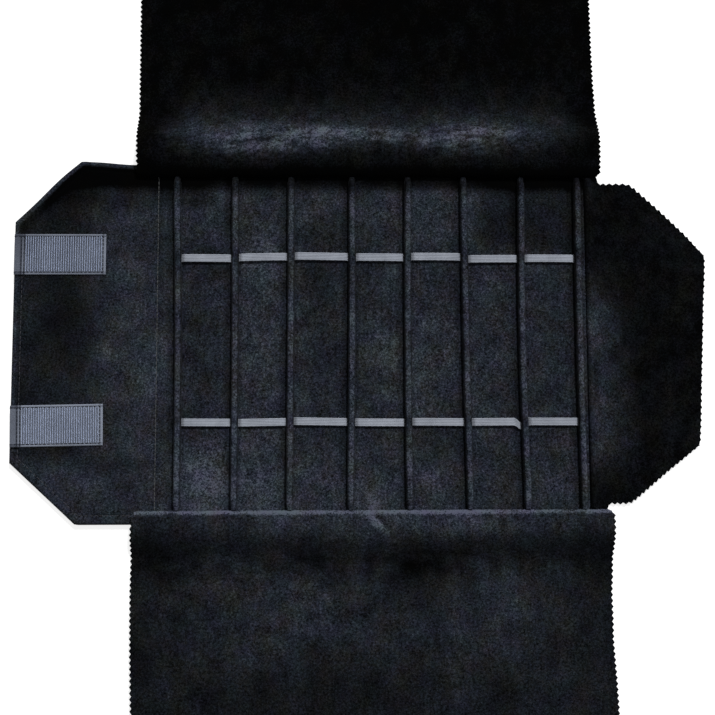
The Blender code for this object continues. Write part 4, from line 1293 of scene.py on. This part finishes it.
stage = {"size": 3.0, "z": -0.0003, "white": 0.5, "glow": 0.76}
light = {"sun": 3.3, "softness": 11.0, "from": (0.30, 0.78, 0.72), "sky": 0.30}
camera = {
    "distance": 0.62, "tilt": radians(4.98), "aside": radians(-1.12), "roll": radians(-0.16),
    "look": (-0.55, -9.78, 4.0), "pixel": 0.6073, "pixels": 715, "sensor": 36,
}


def seenDirectly(graph):  # 1 for what the camera, a gloss or a glass shows
    rays = graph.add("ShaderNodeLightPath")
    straight, gloss, glass = (rays.beside(f"Is {kind} Ray") for kind in ("Camera", "Glossy", "Transmission"))
    return (straight + gloss + glass).limited()


def makeTable():
    half = stage["size"] / 2
    mesh = bpy.data.meshes.new("table")
    corners = [(x * half, y * half, stage["z"]) for x, y in ((-1, -1), (1, -1), (1, 1), (-1, 1))]
    mesh.from_pydata(corners, [], [(0, 1, 2, 3)])
    table = newObject("table", mesh)
    paper = Finish("white_table", {"Base Color": (0.8, 0.8, 0.8, 1), "Roughness": 1.0, "Specular IOR Level": 0.0})
    glow = paper.add("ShaderNodeEmission", None, {"Color": (1, 1, 1, 1), "Strength": stage["glow"]})
    matt = paper.add("ShaderNodeBsdfDiffuse", None, {"Color": (stage["white"],) * 3 + (1,)})
    both = paper.add("ShaderNodeAddShader", None, {0: glow, 1: matt})
    shader = Wire(paper, paper.shader.outputs[0])
    mixed = paper.add("ShaderNodeMixShader", None, {0: seenDirectly(paper), 1: shader, 2: both})
    end = next(node for node in paper.tree.nodes if node.type == "OUTPUT_MATERIAL")
    paper.feed(end.inputs["Surface"], mixed)
    mesh.materials.append(paper.material)


def makeLight():
    lamp = bpy.data.lights.new("window", "SUN")
    lamp.energy, lamp.angle = light["sun"], radians(light["softness"])
    sun = newObject("window", lamp)
    sun.rotation_mode = "QUATERNION"
    sun.rotation_quaternion = Vector(light["from"]).to_track_quat("Z", "Y")
    world = bpy.data.worlds.new("room")
    bpy.context.scene.world = world
    world.use_nodes = True
    graph = Graph(world.node_tree)
    back = next(node for node in world.node_tree.nodes if node.type == "BACKGROUND")
    graph.feed(back.inputs["Color"], (1, 1, 1, 1))
    graph.feed(back.inputs["Strength"], seenDirectly(graph) * (1 - light["sky"]) + light["sky"])


def makeCamera():
    data = bpy.data.cameras.new("camera")
    data.sensor_width = camera["sensor"]
    data.lens = camera["sensor"] * camera["distance"] / (camera["pixels"] * camera["pixel"] * mm)
    eye = newObject("camera", data)
    tilt, aside, roll = camera["tilt"], camera["aside"], camera["roll"]
    back = Vector((sin(aside) * cos(tilt), -sin(tilt), cos(aside) * cos(tilt))).normalized()
    up = back.cross(Vector((cos(aside), 0, -sin(aside)))).normalized()
    right = up.cross(back)
    axes = Matrix((right * cos(roll) + up * sin(roll), up * cos(roll) - right * sin(roll), back)).transposed()
    eye.location = Vector(camera["look"]) * mm + back * camera["distance"]
    eye.rotation_euler = axes.to_euler()
    bpy.context.scene.camera = eye


makeTable()
makeLight()
makeCamera()
bpy.context.scene.view_settings.view_transform = "Standard"
print("table, light and camera made")
